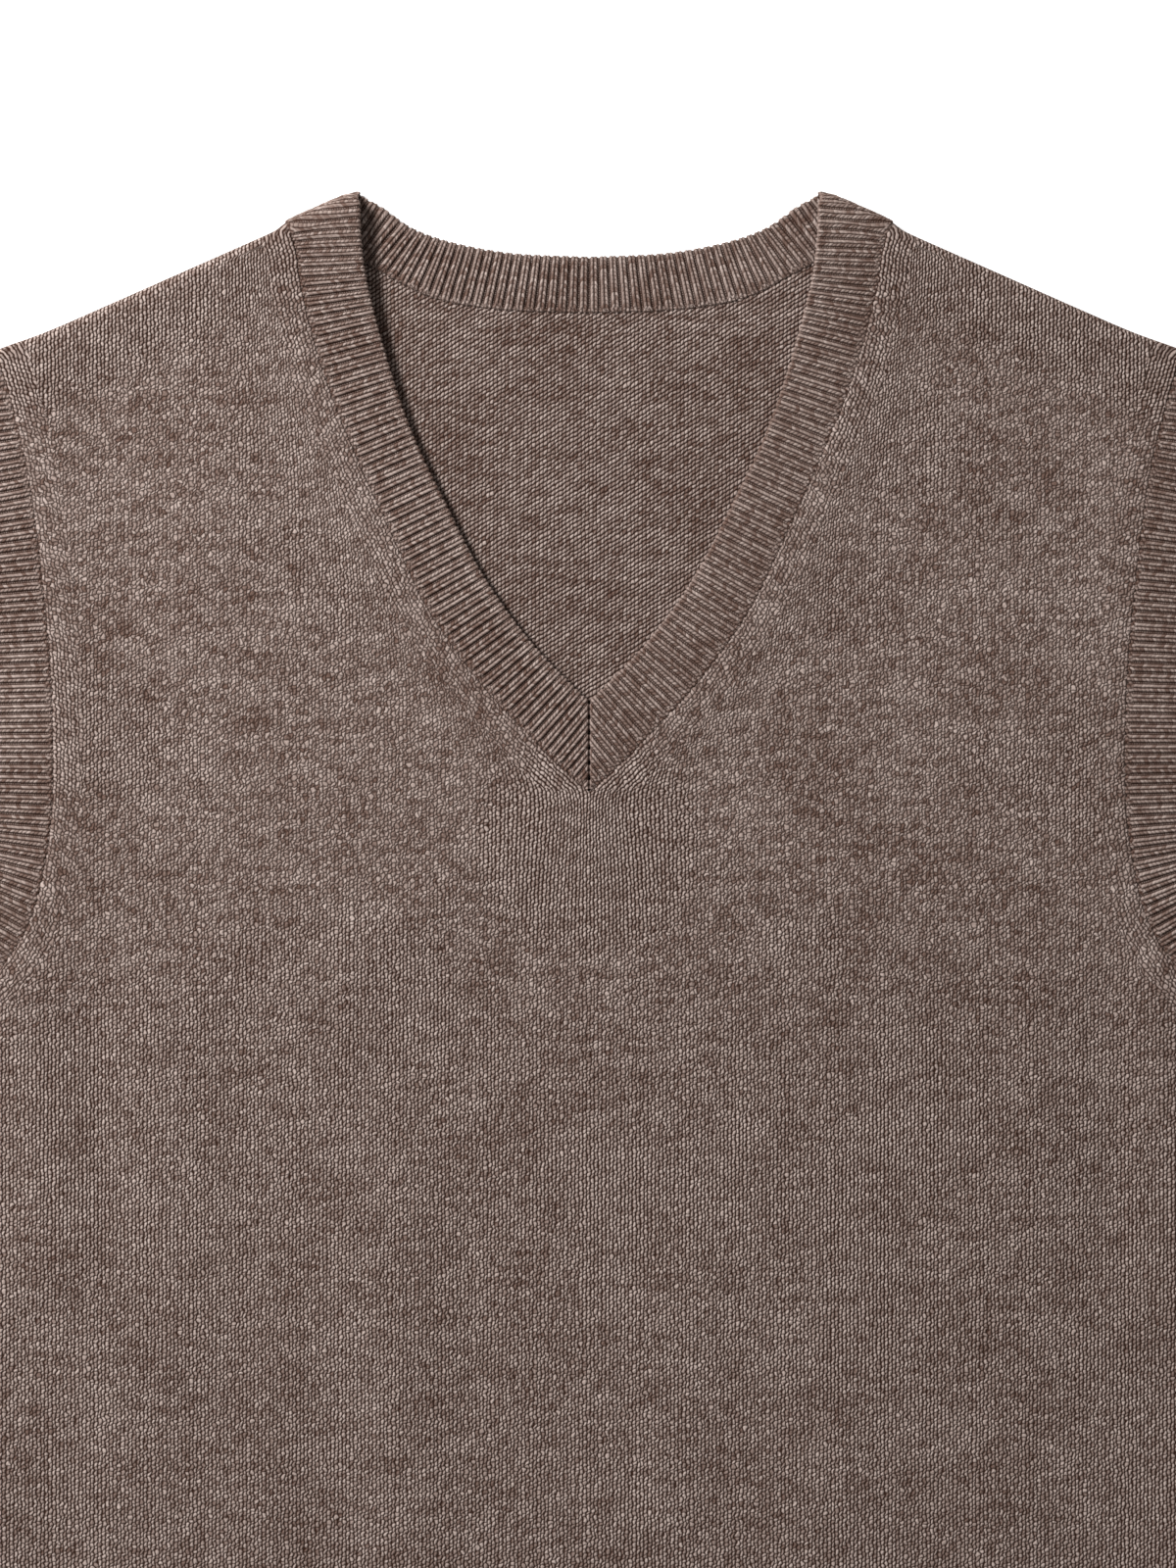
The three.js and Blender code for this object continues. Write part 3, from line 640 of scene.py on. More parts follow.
def ridge_profile(ribs):
    """Relief of the ribs, 0 in a trough and 1 on a leg. Troughs are at whole numbers."""
    off = np.abs(ribs - np.floor(ribs) - 0.5)
    flank = smooth_step((RIDGE_FOOT - off) / (RIDGE_FOOT - RIDGE_SHOULDER))
    return flank * (1 - GROOVE_DEPTH * bell(off, GROOVE_WIDTH))


class Band:
    """Sections across a band, in order along it."""

    def __init__(self):
        self.free, self.seam, self.normal, self.ribs, self.kind = [], [], [], [], []
        self.skew, self.curl = [], []

    def add(self, free, seam, normal, ribs, kind, skew=0.0, curl=0.0):
        count = len(free)
        self.skew.append(skew + np.zeros(count))
        self.curl.append(curl + np.zeros(count))
        self.free.append(free)
        self.seam.append(seam)
        self.normal.append(np.broadcast_to(normal, (count, 3)))
        self.ribs.append(ribs)
        self.kind.append(np.full(count, kind))

    def arrays(self):
        parts = (self.free, self.seam, self.normal, self.ribs, self.kind, self.skew, self.curl)
        return [np.concatenate(part) for part in parts]

    def mirrored_pair(self):
        """The same band carried on across the centre line, where its first section lies."""
        free, seam, normal, ribs, kind, skew, curl = self.arrays()
        flip = np.array([-1, 1, 1])
        whole = Band()
        for part, mirror, into in ((free, flip, whole.free), (seam, flip, whole.seam),
                                   (normal, flip, whole.normal)):
            into.append(np.vstack([part[:0:-1] * mirror, part]))
        whole.ribs.append(np.concatenate([2 * ribs[0] - ribs[:0:-1], ribs]))
        whole.kind.append(np.concatenate([kind[:0:-1], kind]))
        whole.skew.append(np.concatenate([-skew[:0:-1], skew]))
        whole.curl.append(np.concatenate([curl[:0:-1], curl]))
        return whole


def relief(ribs, from_free, from_seam, ribbed):
    """Level of a face off the band's middle surface."""
    rim = (1 - RIM_RELIEF) * bell(np.maximum(from_free, 0), RIM_REACH)
    ridge = ridge_profile(ribs)
    share = lerp(lerp(*SEAM_LEVEL, ridge), lerp(ridge, RIM_LEVEL, rim), smooth_step(from_seam / SEAM_REACH))
    crown = CROWN * np.sin(math.pi * from_seam / (from_seam + from_free + FREE_LIP))
    return np.where(ribbed[:, None], RIB_TROUGH + RIB_DEPTH * share + crown, RIB_TOP)


def band_mesh(band, name, materials):
    """Closed strip: a loop round each section, joined along the band and capped at its ends."""
    free, seam, normal, ribs, kind, skew, curl = band.arrays()
    span = free - seam
    width = np.linalg.norm(span, axis=1, keepdims=True)
    across = span / np.maximum(width, 1e-6)
    narrow = np.minimum(1, width / (2.6 * FREE_LIP))
    free_lip = FREE_LIP * narrow
    seam_lip = lerp(*SEAM_LIP, ridge_profile(ribs)[:, None]) * narrow
    width = width - SCALLOP * (1 - ridge_profile(ribs - skew)[:, None]) * narrow
    even = np.linspace(0, math.pi, BAND_ROWS)[None]
    inside = lerp(0 * width, width - free_lip, (1 - np.cos(even)) / 2)
    quarter = np.linspace(0, math.pi, LIP_STEPS + 2)[1:-1]
    outer_ribs, inner_ribs = kind == OUTER_RIBS, kind == INNER_RIBS
    columns = []

    def number(distance):
        return ribs[:, None] - skew[:, None] * distance / np.maximum(width, 1e-6)

    def add(distance, level, course):
        level = level - curl[:, None] * bell(width - distance, CURL_REACH)
        place = seam[:, None] + across[:, None] * distance[..., None] + normal[:, None] * level[..., None]
        columns.append((place, course, width - distance, distance, number(distance)))

    outer_level = relief(number(inside), width - inside - free_lip, inside, outer_ribs)
    inner_level = relief(number(inside), width - inside - free_lip, inside, inner_ribs)
    add(inside, outer_level, inside)
    lip_run = quarter[None] * free_lip
    cosine, sine = np.cos(quarter)[None], np.sin(quarter)[None]
    lip_level = np.where(cosine > 0, outer_level[:, -1:] * cosine, inner_level[:, -1:] * cosine)
    add(width - free_lip + free_lip * sine, lip_level, width - free_lip + lip_run)
    back_run = width - free_lip + math.pi * free_lip + (width - inside)[:, ::-1]
    add(inside[:, ::-1], -inner_level[:, ::-1], back_run)
    seam_level = np.where(cosine > 0, -inner_level[:, :1] * cosine, -outer_level[:, :1] * cosine)
    add(-seam_lip * sine, seam_level, -seam_lip * sine)

    points = np.concatenate([place for place, *_ in columns], axis=1)
    course, from_free, from_seam, numbers = (
        np.concatenate([column[k] for column in columns], axis=1) for k in range(1, 5))
    count, loop = points.shape[:2]
    index = np.arange(count * loop).reshape(count, loop)
    after = np.roll(index, -1, axis=1)
    quads = np.stack([index[:-1], index[1:], after[1:], after[:-1]], axis=-1).reshape(-1, 4)
    knit = np.stack([numbers, course / COURSE], axis=-1).reshape(-1, 2)
    ends = np.stack([from_free, from_seam], axis=-1).reshape(-1, 2)
    points = points.reshape(-1, 3)

    middle = count // 2
    sample = quads[middle * loop + BAND_ROWS // 2]
    facing = np.cross(points[sample[2]] - points[sample[0]], points[sample[3]] - points[sample[1]])
    if facing @ normal[middle] < 0:
        quads = quads[:, ::-1]
    inner_from = BAND_ROWS + LIP_STEPS
    column_kind = np.zeros(loop, int)
    column_kind[inner_from - 1:inner_from + BAND_ROWS] = 1
    ribbed_here = np.where(column_kind[None] == 0, outer_ribs[:-1, None], inner_ribs[:-1, None])
    kinds = np.where(ribbed_here, 0, 1).reshape(-1)
    made = mesh_object(name, points, quads, kinds, {"knit": knit, "ends": ends}, materials)
    cap_ends(made, loop)
    return made


def cap_ends(made, loop):
    """Closes the first and the last section, each with one face over its open loop."""
    work = bmesh.new()
    work.from_mesh(made.data)
    edges = [edge for edge in work.edges if len(edge.link_faces) == 1]
    bmesh.ops.holes_fill(work, edges=edges, sides=loop + 1)
    bmesh.ops.recalc_face_normals(work, faces=work.faces)
    work.to_mesh(made.data)
    work.free()


def rib_places(start, end, ribs):
    """Places along a run, and the ribs' numbers there."""
    count = int(round(abs(ribs[1] - ribs[0]) * SECTIONS_PER_RIB)) + 1
    return np.linspace(start, end, count), np.linspace(ribs[0], ribs[1], count)


UP = np.array([0, 0, 1.0])
DOWN = np.array([0, 0, -1.0])
LAY_HEIGHT = RIB_THICKNESS / 2


def folded_sections(free, free_height, seam, seam_height, out, proud, ribs, from_degrees, to_degrees,
                    swell=0.0):
    """Sections over a fold, between two angles.

    proud is how far the free end and the seam end stand out beyond the fold's own radius.
    swell moves the free end's lower side in plan.
    """
    degrees, numbers = rib_places(from_degrees, to_degrees, ribs)
    bases = [point + out * fold_push(end, degrees)[:, None] for point, end in zip((free, seam), proud)]
    bases[0] = bases[0] + swell * smooth_step((degrees - 60) / 120)[:, None]
    free_points, normal = rolled(bases[0], out, free_height + 0 * degrees, RIB_THICKNESS, degrees)
    seam_points, _ = rolled(bases[1], out, seam_height + 0 * degrees, RIB_THICKNESS, degrees)
    return free_points, seam_points, normal, numbers


def neck_front_sections():
    whole = NECK_FRONT_WHOLE
    rib_way = unit(NECK_FRONT_SEAM.at(NECK_FRONT_STEPS) - NECK_FRONT_FREE.at(NECK_FRONT_STEPS))
    ribs_front = NECK_FRONT_STEPS * NECK_FRONT_RIBS
    front, front_numbers = rib_places(0, NECK_FRONT_STEPS, (0, ribs_front))
    mitre, mitre_numbers = rib_places(
        NECK_FRONT_STEPS, NECK_ROWS, (ribs_front, ribs_front + NECK_MITRE_STEPS * NECK_MITRE_RIBS))
    places = np.concatenate([front, mitre[1:]])
    numbers = np.concatenate([front_numbers, mitre_numbers[1:]])
    seam = whole.at(places)
    inside = seam[:, 0] > HALF_MITRE + 0.3
    places, numbers, seam = places[inside], numbers[inside], seam[inside]
    cut = seam + rib_way * ((HALF_MITRE - seam[:, :1]) / rib_way[0])
    free = np.where(places[:, None] < NECK_FRONT_STEPS, NECK_FRONT_FREE.at(places), cut)
    start = seam[:1]
    from_start = np.linalg.norm(seam - start, axis=1)
    height = smooth_max(front_height(seam), BAND_FREE_HEIGHT)
    height = height + (SHOULDER_HEIGHT_NECK - height[0]) * bell(from_start, EDGE_BLEND)
    lift = NECK_EDGE_LIFT * bell(from_start, NECK_REACH)
    return with_height(free, height + lift), with_height(seam, height), numbers


def fold_skew(ribs):
    """Ribs by which the free edge runs ahead: most at the shoulder fold, none away from it."""
    from_crest = ribs + FOLD_RIBS / 2
    return FOLD_SKEW * np.where(from_crest < 0, smooth_step(1 + from_crest / 9), smooth_step(1 - from_crest / 14))


def neck_band():
    free, seam, numbers = neck_front_sections()
    back_ribs = -FOLD_RIBS - NECK_BACK_STEPS * NECK_BACK_RIBS
    places, back_numbers = rib_places(NECK_BACK_STEPS, 0, (back_ribs, -FOLD_RIBS))
    back_plan = NECK_BACK_FREE.at(places)
    from_fold = np.linalg.norm(back_plan - NECK_BACK_FREE.points[0], axis=1)
    back_plan = back_plan + BACK_SWELL * np.exp(-from_fold / BACK_EDGE_REACH)[:, None]
    back_free = with_height(back_plan, LAY_HEIGHT)
    back_seam = with_height(NECK_BACK_SEAM.at(places), LAY_HEIGHT)
    fold_free, fold_seam, fold_normal, fold_numbers = folded_sections(
        free[0, :2], free[0, 2], seam[0, :2], seam[0, 2], SHOULDER_OUT, NECK_FOLD_PROUD,
        (-FOLD_RIBS, 0), 180, 0, BACK_SWELL)
    turned = len(fold_numbers) // 3
    curl = FOLD_CURL * np.sin(np.linspace(0, math.pi, len(fold_numbers)))
    half = Band()
    half.add(back_free, back_seam, DOWN, back_numbers, INNER_RIBS, fold_skew(back_numbers))
    for part, kind in ((slice(1, turned), INNER_RIBS), (slice(turned, -1), OUTER_RIBS)):
        half.add(fold_free[part], fold_seam[part], fold_normal[part], fold_numbers[part], kind,
                 fold_skew(fold_numbers[part]), curl[part])
    half.add(free, seam, UP, numbers, OUTER_RIBS, fold_skew(numbers))
    return half.mirrored_pair()


def armhole_band(sign):
    ribs = ARMHOLE_STEPS * ARMHOLE_RIBS
    places, numbers = rib_places(0, ARMHOLE_STEPS, (0, ribs))
    seam, free = ARMHOLE_SEAM.at(places), ARMHOLE_FREE.at(places)
    flip = np.array([sign, 1])
    height = smooth_max(front_height(seam * flip), BAND_FREE_HEIGHT)
    height = height + (SHOULDER_HEIGHT_TIP - height[0]) * bell(np.linalg.norm(seam - seam[0], axis=1), EDGE_BLEND)
    height = height + (SIDE_HEIGHT - height[-1]) * bell(np.linalg.norm(seam - seam[-1], axis=1), EDGE_BLEND)
    from_fold = np.minimum(places, ARMHOLE_STEPS - places) / ARMHOLE_STEPS
    free_height = BAND_FREE_HEIGHT + (height - BAND_FREE_HEIGHT) * bell(from_fold, FREE_EDGE_EASE_ARMHOLE)
    band = Band()
    lower = folded_sections(free[-1], free_height[-1], seam[-1], height[-1], UNDERARM_OUT, (0, 0),
                            (-ribs - FOLD_RIBS - 1, -ribs - FOLD_RIBS), 90, 180)
    band.add(lower[0][:-1], lower[1][:-1], lower[2][:-1], lower[3][:-1], PLAIN)
    step = SECTIONS_PER_RIB // 2
    order = np.arange(len(places) - 1, -1, -step)
    band.add(with_height(free[order], LAY_HEIGHT), with_height(seam[order], LAY_HEIGHT), DOWN,
             -numbers[order] - FOLD_RIBS, PLAIN)
    over = folded_sections(free[0], free_height[0], seam[0], height[0], SHOULDER_OUT,
                           ARMHOLE_FOLD_PROUD, (-FOLD_RIBS, 0), 180, 0)
    turned = len(over[3]) // 3
    for part, kind in ((slice(1, turned), PLAIN), (slice(turned, -1), OUTER_RIBS)):
        band.add(over[0][part], over[1][part], over[2][part], over[3][part], kind)
    band.add(with_height(free, free_height), with_height(seam, height), UP, numbers, OUTER_RIBS)
    upper = folded_sections(free[-1], free_height[-1], seam[-1], height[-1], UNDERARM_OUT, (0, 0),
                            (ribs, ribs + 1), 0, 90)
    band.add(upper[0][1:], upper[1][1:], upper[2][1:], upper[3][1:], OUTER_RIBS)
    mirror = np.array([sign, 1, 1])
    band.free = [part * mirror for part in band.free]
    band.seam = [part * mirror for part in band.seam]
    band.normal = [part * mirror for part in band.normal]
    return band


def hem_band(top):
    side = side_rows(PANEL_BODY_ROWS)[0][-1]
    ribs = HEM_STEPS * HEM_RIBS
    places, numbers = rib_places(-1, 1, (-ribs, ribs))
    if not top:
        keep = np.arange(0, len(places), SECTIONS_PER_RIB // 3)
        places, numbers = places[keep], numbers[keep]
    edge_base = HEM_EDGE_HALF_WIDTH - fold_inset(SIDE_HEIGHT)
    seam = np.stack([side[0] * places, HEM_SEAM_Y + 0 * places], axis=-1)
    free = np.stack([edge_base * places, HEM_EDGE_Y + 0 * places], axis=-1)
    height = smooth_max(front_height(seam), BAND_FREE_HEIGHT)
    for end in (0, -1):
        height = height + (SIDE_HEIGHT - height[end]) * bell(np.abs(seam[:, 0] - seam[end, 0]), EDGE_BLEND)
    ease = bell(1 - np.abs(places), FREE_EDGE_EASE_HEM)
    free_height = BAND_FREE_HEIGHT + (SIDE_HEIGHT - BAND_FREE_HEIGHT) * ease
    edge_span = np.array([side[0] - edge_base, HEM_SEAM_Y - HEM_EDGE_Y])
    out = unit(np.array([edge_span[1], -edge_span[0]]))
    degrees = (0, 90) if top else (180, 90)
    kind = OUTER_RIBS if top else PLAIN
    lip = folded_sections(free[-1], SIDE_HEIGHT, seam[-1], SIDE_HEIGHT, out, (0, 0), (ribs, ribs + 1),
                          *degrees)
    flip = np.array([-1, 1, 1])
    band = Band()
    band.add(lip[0][:0:-1] * flip, lip[1][:0:-1] * flip, lip[2][:0:-1] * flip, -lip[3][:0:-1], kind)
    if top:
        band.add(with_height(free, free_height), with_height(seam, height), UP, numbers, kind)
    else:
        band.add(with_height(free, LAY_HEIGHT), with_height(seam, LAY_HEIGHT), DOWN, numbers, kind)
    band.add(lip[0][1:], lip[1][1:], lip[2][1:], lip[3][1:], kind)
    return band


# Materials

class Wire:
    """A number in a node tree, with arithmetic."""

    def __init__(self, tree, socket):
        self.tree, self.socket = tree, socket

    def math(self, operation, *others):
        node = self.tree.nodes.new("ShaderNodeMath")
        node.operation = operation
        for slot, value in zip(node.inputs, (self, *others)):
            connect(self.tree, slot, value)
        return Wire(self.tree, node.outputs[0])

    def __add__(self, other):
        return self.math("ADD", other)

    def __sub__(self, other):
        return self.math("SUBTRACT", other)

    def __mul__(self, other):
        return self.math("MULTIPLY", other)

    def __truediv__(self, other):
        return self.math("DIVIDE", other)

    def __pow__(self, other):
        return self.math("POWER", other)

    __radd__ = __add__
    __rmul__ = __mul__

    def fraction(self):
        return self.math("FRACT")

    def floor(self):
        return self.math("FLOOR")

    def absolute(self):
        return self.math("ABSOLUTE")

    def sine(self):
        return self.math("SINE")

    def above(self, level):
        return self.math("GREATER_THAN", level)

    def below(self, level):
        return self.math("LESS_THAN", level)

    def arch(self):
        """0 at whole numbers and 1 half way between them."""
        return (self.fraction() * math.pi).sine()

    def ramp(self, low, high, to_low=0.0, to_high=1.0):
        node = self.tree.nodes.new("ShaderNodeMapRange")
        node.interpolation_type = "SMOOTHSTEP"
        for name, value in (("Value", self), ("From Min", low), ("From Max", high),
                            ("To Min", to_low), ("To Max", to_high)):
            connect(self.tree, node.inputs[name], value)
        return Wire(self.tree, node.outputs["Result"])


def connect(tree, slot, value):
    if isinstance(value, Wire):
        tree.links.new(value.socket, slot)
    else:
        slot.default_value = value


def combine(tree, *values):
    node = tree.nodes.new("ShaderNodeCombineXYZ")
    for slot, value in zip(node.inputs, values):
        connect(tree, slot, value)
    return Wire(tree, node.outputs[0])


def noise(tree, vector, scale, detail=2.0, roughness=0.5):
    node = tree.nodes.new("ShaderNodeTexNoise")
    connect(tree, node.inputs["Vector"], vector)
    node.inputs["Scale"].default_value = scale
    node.inputs["Detail"].default_value = detail
    node.inputs["Roughness"].default_value = roughness
    return Wire(tree, node.outputs[0])


def white_noise(tree, vector):
    node = tree.nodes.new("ShaderNodeTexWhiteNoise")
    node.noise_dimensions = "3D"
    connect(tree, node.inputs["Vector"], vector)
    return Wire(tree, node.outputs["Value"])


def uv_wires(tree, name):
    layer = tree.nodes.new("ShaderNodeUVMap")
    layer.uv_map = name
    split = tree.nodes.new("ShaderNodeSeparateXYZ")
    tree.links.new(layer.outputs[0], split.inputs[0])
    return Wire(tree, split.outputs[0]), Wire(tree, split.outputs[1])


def object_wire(tree):
    return Wire(tree, tree.nodes.new("ShaderNodeTexCoord").outputs["Object"])


# Yarn colours as linear red, green and blue; the first is painted shade for the gaps between stitches, not a
# colour of the yarn
GAP_PAINTED_SHADE = (0.027, 0.0105, 0.0062)
YARN_DARK = (0.152, 0.0950, 0.0760)
YARN_LIGHT = (0.550, 0.4450, 0.4000)
FUZZ_TINT = (0.90, 0.62, 0.50)
EDGE_WALES = 4.0            # wales that run along a shaped seam
CLEAR_CENTRE_Y, CLEAR_REACH = 0.092, 0.050     # where the wales show as lines, in metres


def colour_mix(tree, factor, low, high):
    node = tree.nodes.new("ShaderNodeMix")
    node.data_type = "RGBA"
    connect(tree, node.inputs["Factor"], factor)
    for slot, colour in ((node.inputs["A"], low), (node.inputs["B"], high)):
        if isinstance(colour, Wire):
            tree.links.new(colour.socket, slot)
        else:
            slot.default_value = (*colour, 1)
    return Wire(tree, node.outputs["Result"])


def yarn_shade(tree, wale, course, stitch, level):
    """Lightness of the yarn: its level, each stitch, heather streaks along a course, and soft patches."""
    place = object_wire(tree)
    streak = noise(tree, combine(tree, wale * 0.17, course.floor() * 7.31, 0.0), 1.0, 1.5)
    patch = noise(tree, place, 30.0, 3.0)
    fibre = noise(tree, place, 1900.0, 2.0)
    return (
        stitch * 0.62
        + (streak.ramp(0.30, 0.70) - 0.5) * 0.36
        + (patch.ramp(0.32, 0.68) - 0.5) * 0.16
        + (fibre - 0.5) * 0.6
        + level
    )


def unsteady(tree, wale, course, amount):
    """The same coordinates, with the small wander of real stitches."""
    wander = tree.nodes.new("ShaderNodeTexNoise")
    wander.inputs["Scale"].default_value = 430.0
    wander.inputs["Detail"].default_value = 1.0
    tree.links.new(object_wire(tree).socket, wander.inputs["Vector"])
    split = tree.nodes.new("ShaderNodeSeparateColor")
    tree.links.new(wander.outputs["Color"], split.inputs[0])
    red, green = Wire(tree, split.outputs[0]), Wire(tree, split.outputs[1])
    return wale + (red - 0.5) * amount, course + (green - 0.5) * (amount * 2.0)


def stitch_lattice(tree, wale, course, lean, crossing, running):
    """Rounded legs in columns half a wale apart, every other column half a course up.

    Gives their height from 0 to 1, a random number for each leg, and the row that it is in.
    crossing and running are the powers that round a leg across its column and along it.
    """
    column = wale * 2.0
    across = column.fraction() - 0.5
    row = course + (column.floor() * 0.5).fraction() - across * lean
    height = (column.arch() ** crossing) * (row.arch() ** running)
    random = white_noise(tree, combine(tree, column.floor(), row.floor(), 0.5))
    return height, random, row


def knit_material(name, build, bump_distance):
    material = bpy.data.materials.new(name)
    material.use_nodes = True
    tree = material.node_tree
    shader = tree.nodes["Principled BSDF"]
    height, shade, gap = build(tree)
    yarn = colour_mix(tree, shade, YARN_DARK, YARN_LIGHT)
    # Painted shade: where the stitches lie low, the colour turns towards the dark gap colour in place of the
    # shade that falls between them
    colour = colour_mix(tree, gap, GAP_PAINTED_SHADE, yarn)
    tree.links.new(colour.socket, shader.inputs["Base Color"])
    bump = tree.nodes.new("ShaderNodeBump")
    bump.inputs["Strength"].default_value = 1.0
    bump.inputs["Distance"].default_value = bump_distance
    connect(tree, bump.inputs["Height"], height)
    tree.links.new(bump.outputs[0], shader.inputs["Normal"])
    shader.inputs["Roughness"].default_value = 0.95
    shader.inputs["Specular IOR Level"].default_value = 0.15
    shader.inputs["Sheen Weight"].default_value = 0.10
    shader.inputs["Sheen Roughness"].default_value = 0.6
    shader.inputs["Sheen Tint"].default_value = (*FUZZ_TINT, 1)
    shader.inputs["Specular Tint"].default_value = (*FUZZ_TINT, 1)
    return material


def clear_wales(tree):
    """How clearly the columns stand apart as lines, from 0 to 1, both in relief and in the depth of the painted
    shade between them.

    They do so round the tip of the V, along the shoulders, lower down and in patches.
    """
    place = object_wire(tree)
    split = tree.nodes.new("ShaderNodeSeparateXYZ")
    tree.links.new(place.socket, split.inputs[0])
    x, y = Wire(tree, split.outputs[0]).absolute(), Wire(tree, split.outputs[1])
    from_tip = y - CLEAR_CENTRE_Y
    near_tip = (x * x + from_tip * from_tip).ramp(CLEAR_REACH ** 2 * 0.2, CLEAR_REACH ** 2, 1.0, 0.0)
    out_x, out_y = SHOULDER_OUT.tolist()
    shoulder = float(SHOULDER_NECK @ SHOULDER_OUT) * MILLIMETRE
    near_shoulder = (x * out_x + y * out_y).ramp(shoulder - 0.036, shoulder - 0.012)
    lower = y.ramp(-0.02, 0.11, 0.6, 0.0)
    patches = noise(tree, place, 13.0, 2.0).ramp(0.50, 0.66) * 0.4
    return near_tip.math("MAXIMUM", near_shoulder).math("MAXIMUM", lower + patches)


def jersey_knit(tree):
    wale, course = uv_wires(tree, "knit")
    from_seam, along_seam = uv_wires(tree, "edge")
    ragged = noise(tree, object_wire(tree), 260.0, 1.0)
    shaped = (from_seam + ragged * 2.0 - 1.0).below(EDGE_WALES)
    wale = wale + (from_seam - wale) * shaped
    course = course + (along_seam - course) * shaped
    clear = clear_wales(tree)
    wale, course = unsteady(tree, wale + 0.31, course, clear * -0.42 + 0.92)
    height, random, row = stitch_lattice(tree, wale, course, 0.25, 0.7, 0.6)
    lines = (wale * 2.0).arch() * (row.arch() * 0.5 + 0.5)
    height = height + (lines - height) * (clear * 0.75)
    fuzz = noise(tree, object_wire(tree), 1500.0, 2.0)
    shade = yarn_shade(tree, wale, row, random, clear * 0.22 + 0.12)
    # Painted shade between the stitches, deeper where the wales stand apart as lines
    painted_shade_depth = clear * 0.32 + 0.86
    return height + fuzz * 0.3, shade, height.ramp(0.10, 0.92, 1.0, 0.0) * painted_shade_depth * -1.0 + 1.0


def jersey_purl(tree):
    wale, course = uv_wires(tree, "knit")
    wale, course = unsteady(tree, wale, course, 0.36)
    height, random, row = stitch_lattice(tree, wale, course, 0.5, 0.45, 1.0)
    fuzz = noise(tree, object_wire(tree), 1500.0, 2.0)
    shade = yarn_shade(tree, wale, row, random, 0.14)
    # Painted shade: the last value turns the low parts between the purl bumps towards the dark gap colour
    return height + fuzz * 0.3, shade, height.ramp(0.1, 0.9)


def rib_knit(tree):
    rib, course = uv_wires(tree, "knit")
    from_free, from_seam = uv_wires(tree, "ends")
    rib, course = unsteady(tree, rib, course, 0.09)
    off = (rib.fraction() - 0.5).absolute()
    second = rib.fraction().above(0.5)
    row = course * 1.15 - off * 1.6
    strand = row.arch() ** 0.7
    beads = strand * (second * 0.30 + 0.42) + (second * -0.30 + 0.58)
    legs = off.ramp(0.30, 0.40, 1.0, 0.0) * off.ramp(0.03, 0.11, 0.2, 1.0) * beads
    trough = (course * 2.0).arch() * off.ramp(0.38, 0.5, 0.0, 1.0) * 0.65
    ribbed = legs + trough
    ridge = white_noise(tree, combine(tree, rib.floor() * 2.0 + second, row.floor(), 4.5))

    dots, dot_random, dot_row = stitch_lattice(tree, rib * (RIB_PITCH / WALE), course, 0.35, 0.8, 0.6)
    ragged = white_noise(tree, combine(tree, rib.floor() * 2.0 + second, 1.5, 0.5))
    away = (from_seam - ragged * 1.1).ramp(0.1, 1.1)
    rim = from_free.ramp(0.0, 0.9)
    height = dots + (ribbed - dots) * away
    rim_bead = (rib * 2.0).arch() * 0.5 + 0.32
    height = height * rim + rim_bead * (rim * -1.0 + 1.0)
    fuzz = noise(tree, object_wire(tree), 1500.0, 2.0)
    shade = yarn_shade(tree, off, row, ridge * rim + (rim * -1.0 + 1.0) * 0.4, 0.08)
    # Painted shade: the last value turns the troughs and the low parts between the legs towards the dark gap
    # colour
    return height + fuzz * 0.5, shade, height.ramp(0.05, 0.9, 0.10, 1.0)


def main():
    jersey = knit_material("jersey_knit_side", jersey_knit, 0.0004)
    purl = knit_material("jersey_purl_side", jersey_purl, 0.0004)
    ribbed = knit_material("rib_raised", rib_knit, 0.0003)
    plain_rib = knit_material("rib_flat", rib_knit, 0.0009)

    pieces = {}

    def panel(name, surface):
        points, faces, kinds, knit, edge = wall(surface, JERSEY_THICKNESS)
        pieces[name] = mesh_object(name + "_knit", points, faces, kinds,
                                   {"knit": knit, "edge": edge}, [jersey, purl])

    panel("front_panel", front_panel_surface())
    panel("back_panel", back_panel_surface())
    bands = {
        "neck_band": neck_band(),
        "armhole_band_left": armhole_band(1),
        "armhole_band_right": armhole_band(-1),
        "front_hem_rib": hem_band(True),
        "back_hem_rib": hem_band(False),
    }
    for name, band in bands.items():
        pieces[name] = band_mesh(band, name + "_knit", [ribbed, plain_rib])
    return pieces


pieces = main()

# Each piece hangs from the root body, and the part of the same name from model.glb is hidden
for name, piece in pieces.items():
    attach(piece, "root")
    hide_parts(name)


# Camera, floor and light

VIEW_HEIGHT = 0.568         # what the picture shows, from its top to its bottom
VIEW_CENTRE = (-0.0004, 0.1159)
LENS, SENSOR = 85.0, 36.0

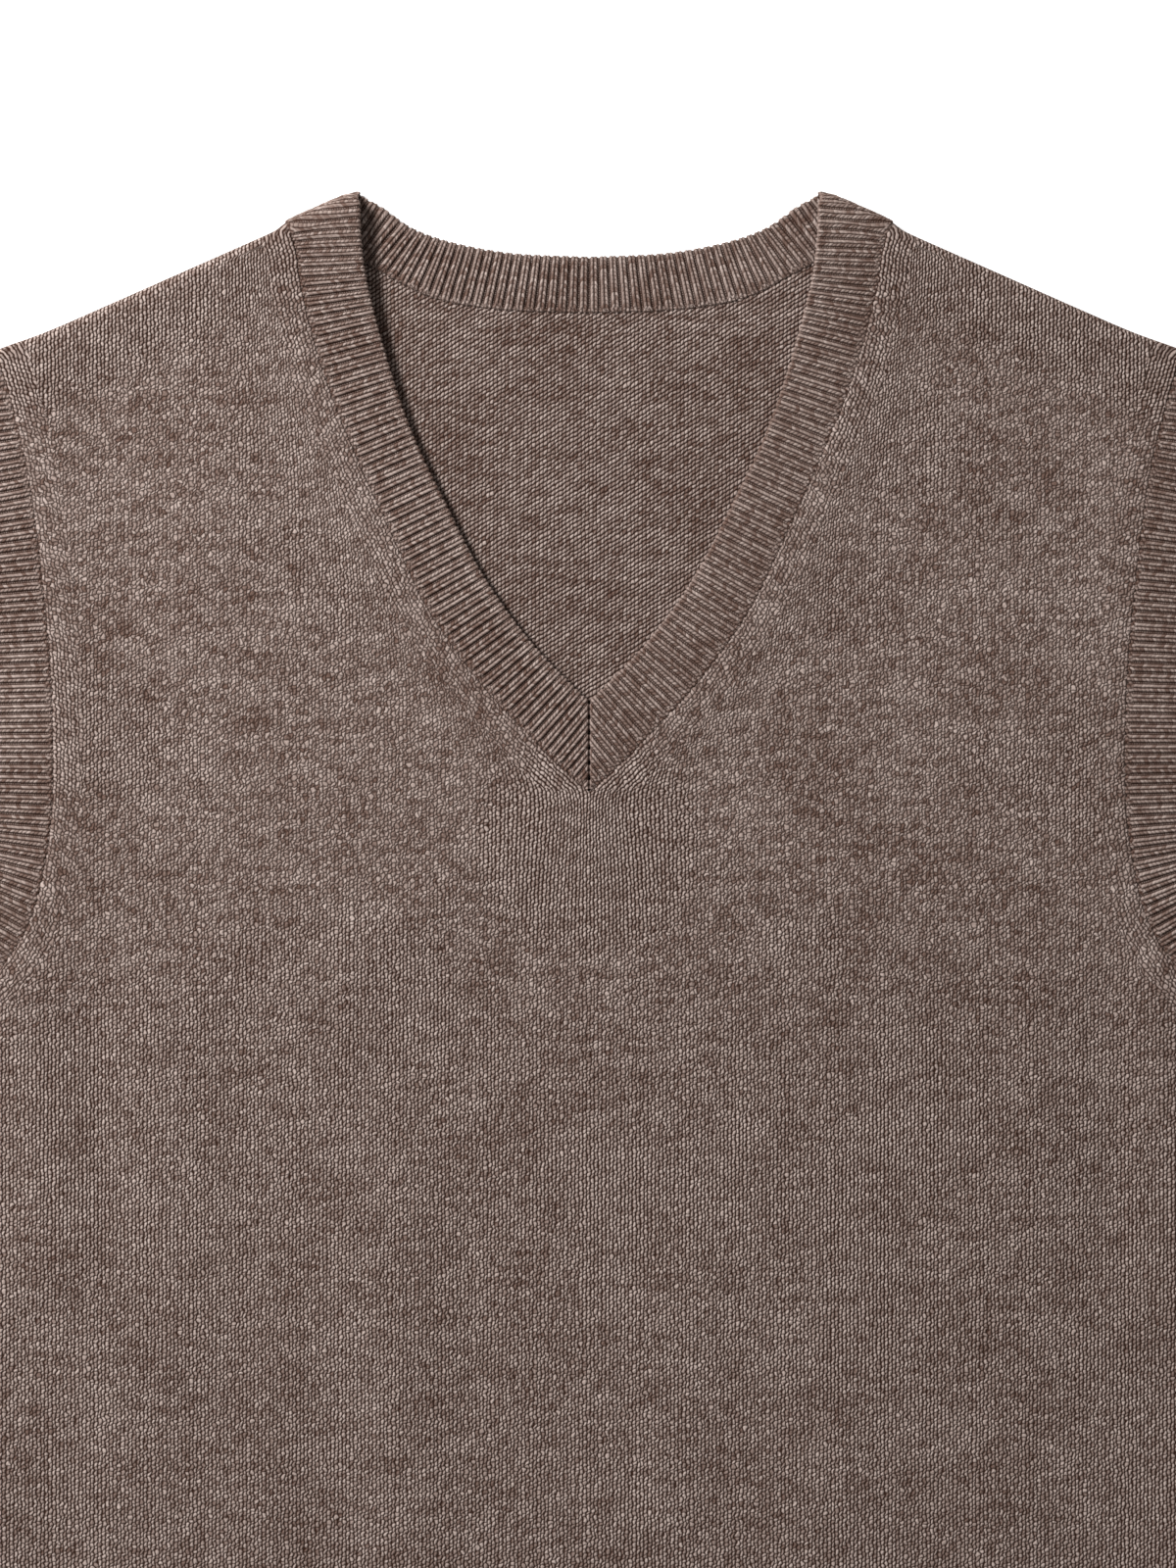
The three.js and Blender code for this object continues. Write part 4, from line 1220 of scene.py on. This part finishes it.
camera_data = bpy.data.cameras.new("camera")
camera_data.lens = LENS
camera_data.sensor_width = SENSOR
camera_data.sensor_fit = "AUTO"
camera = bpy.data.objects.new("camera", camera_data)
camera.location = (*VIEW_CENTRE, VIEW_HEIGHT * LENS / SENSOR + 0.006)
bpy.context.scene.collection.objects.link(camera)
bpy.context.scene.camera = camera

floor_mesh = bpy.data.meshes.new("floor")
reach = 3.0
floor_mesh.from_pydata([(-reach, -reach, 0), (reach, -reach, 0), (reach, reach, 0), (-reach, reach, 0)],
                       [], [(0, 1, 2, 3)])
floor = bpy.data.objects.new("floor", floor_mesh)
floor.location.z = -0.0002
bpy.context.scene.collection.objects.link(floor)
floor_paint = bpy.data.materials.new("floor_paint")
floor_paint.use_nodes = True
floor_shader = floor_paint.node_tree.nodes["Principled BSDF"]
floor_shader.inputs["Base Color"].default_value = (0.93, 0.93, 0.93, 1)
floor_shader.inputs["Roughness"].default_value = 0.9
floor_shader.inputs["Specular IOR Level"].default_value = 0.1
floor_shader.inputs["Emission Color"].default_value = (1, 1, 1, 1)
floor_shader.inputs["Emission Strength"].default_value = 0.35
floor_mesh.materials.append(floor_paint)

world = bpy.data.worlds.new("studio")
world.use_nodes = True
world.node_tree.nodes["Background"].inputs[0].default_value = (1.0, 0.985, 0.97, 1)
world.node_tree.nodes["Background"].inputs[1].default_value = 0.25
bpy.context.scene.world = world


def lamp(name, azimuth, elevation, distance, size, power):
    """A square lamp that faces the picture's centre, at that azimuth, anticlockwise from +X."""
    data = bpy.data.lights.new(name, "AREA")
    data.energy = power
    data.size = size
    made = bpy.data.objects.new(name, data)
    a, e = math.radians(azimuth), math.radians(elevation)
    away = Vector((math.cos(a) * math.cos(e), math.sin(a) * math.cos(e), math.sin(e)))
    made.location = Vector((*VIEW_CENTRE, 0)) + away * distance
    made.rotation_mode = "QUATERNION"
    made.rotation_quaternion = away.to_track_quat("Z", "Y")
    bpy.context.scene.collection.objects.link(made)


lamp("key", 143, 40, 1.95, 0.5, 52)

bpy.context.scene.view_settings.view_transform = "Standard"
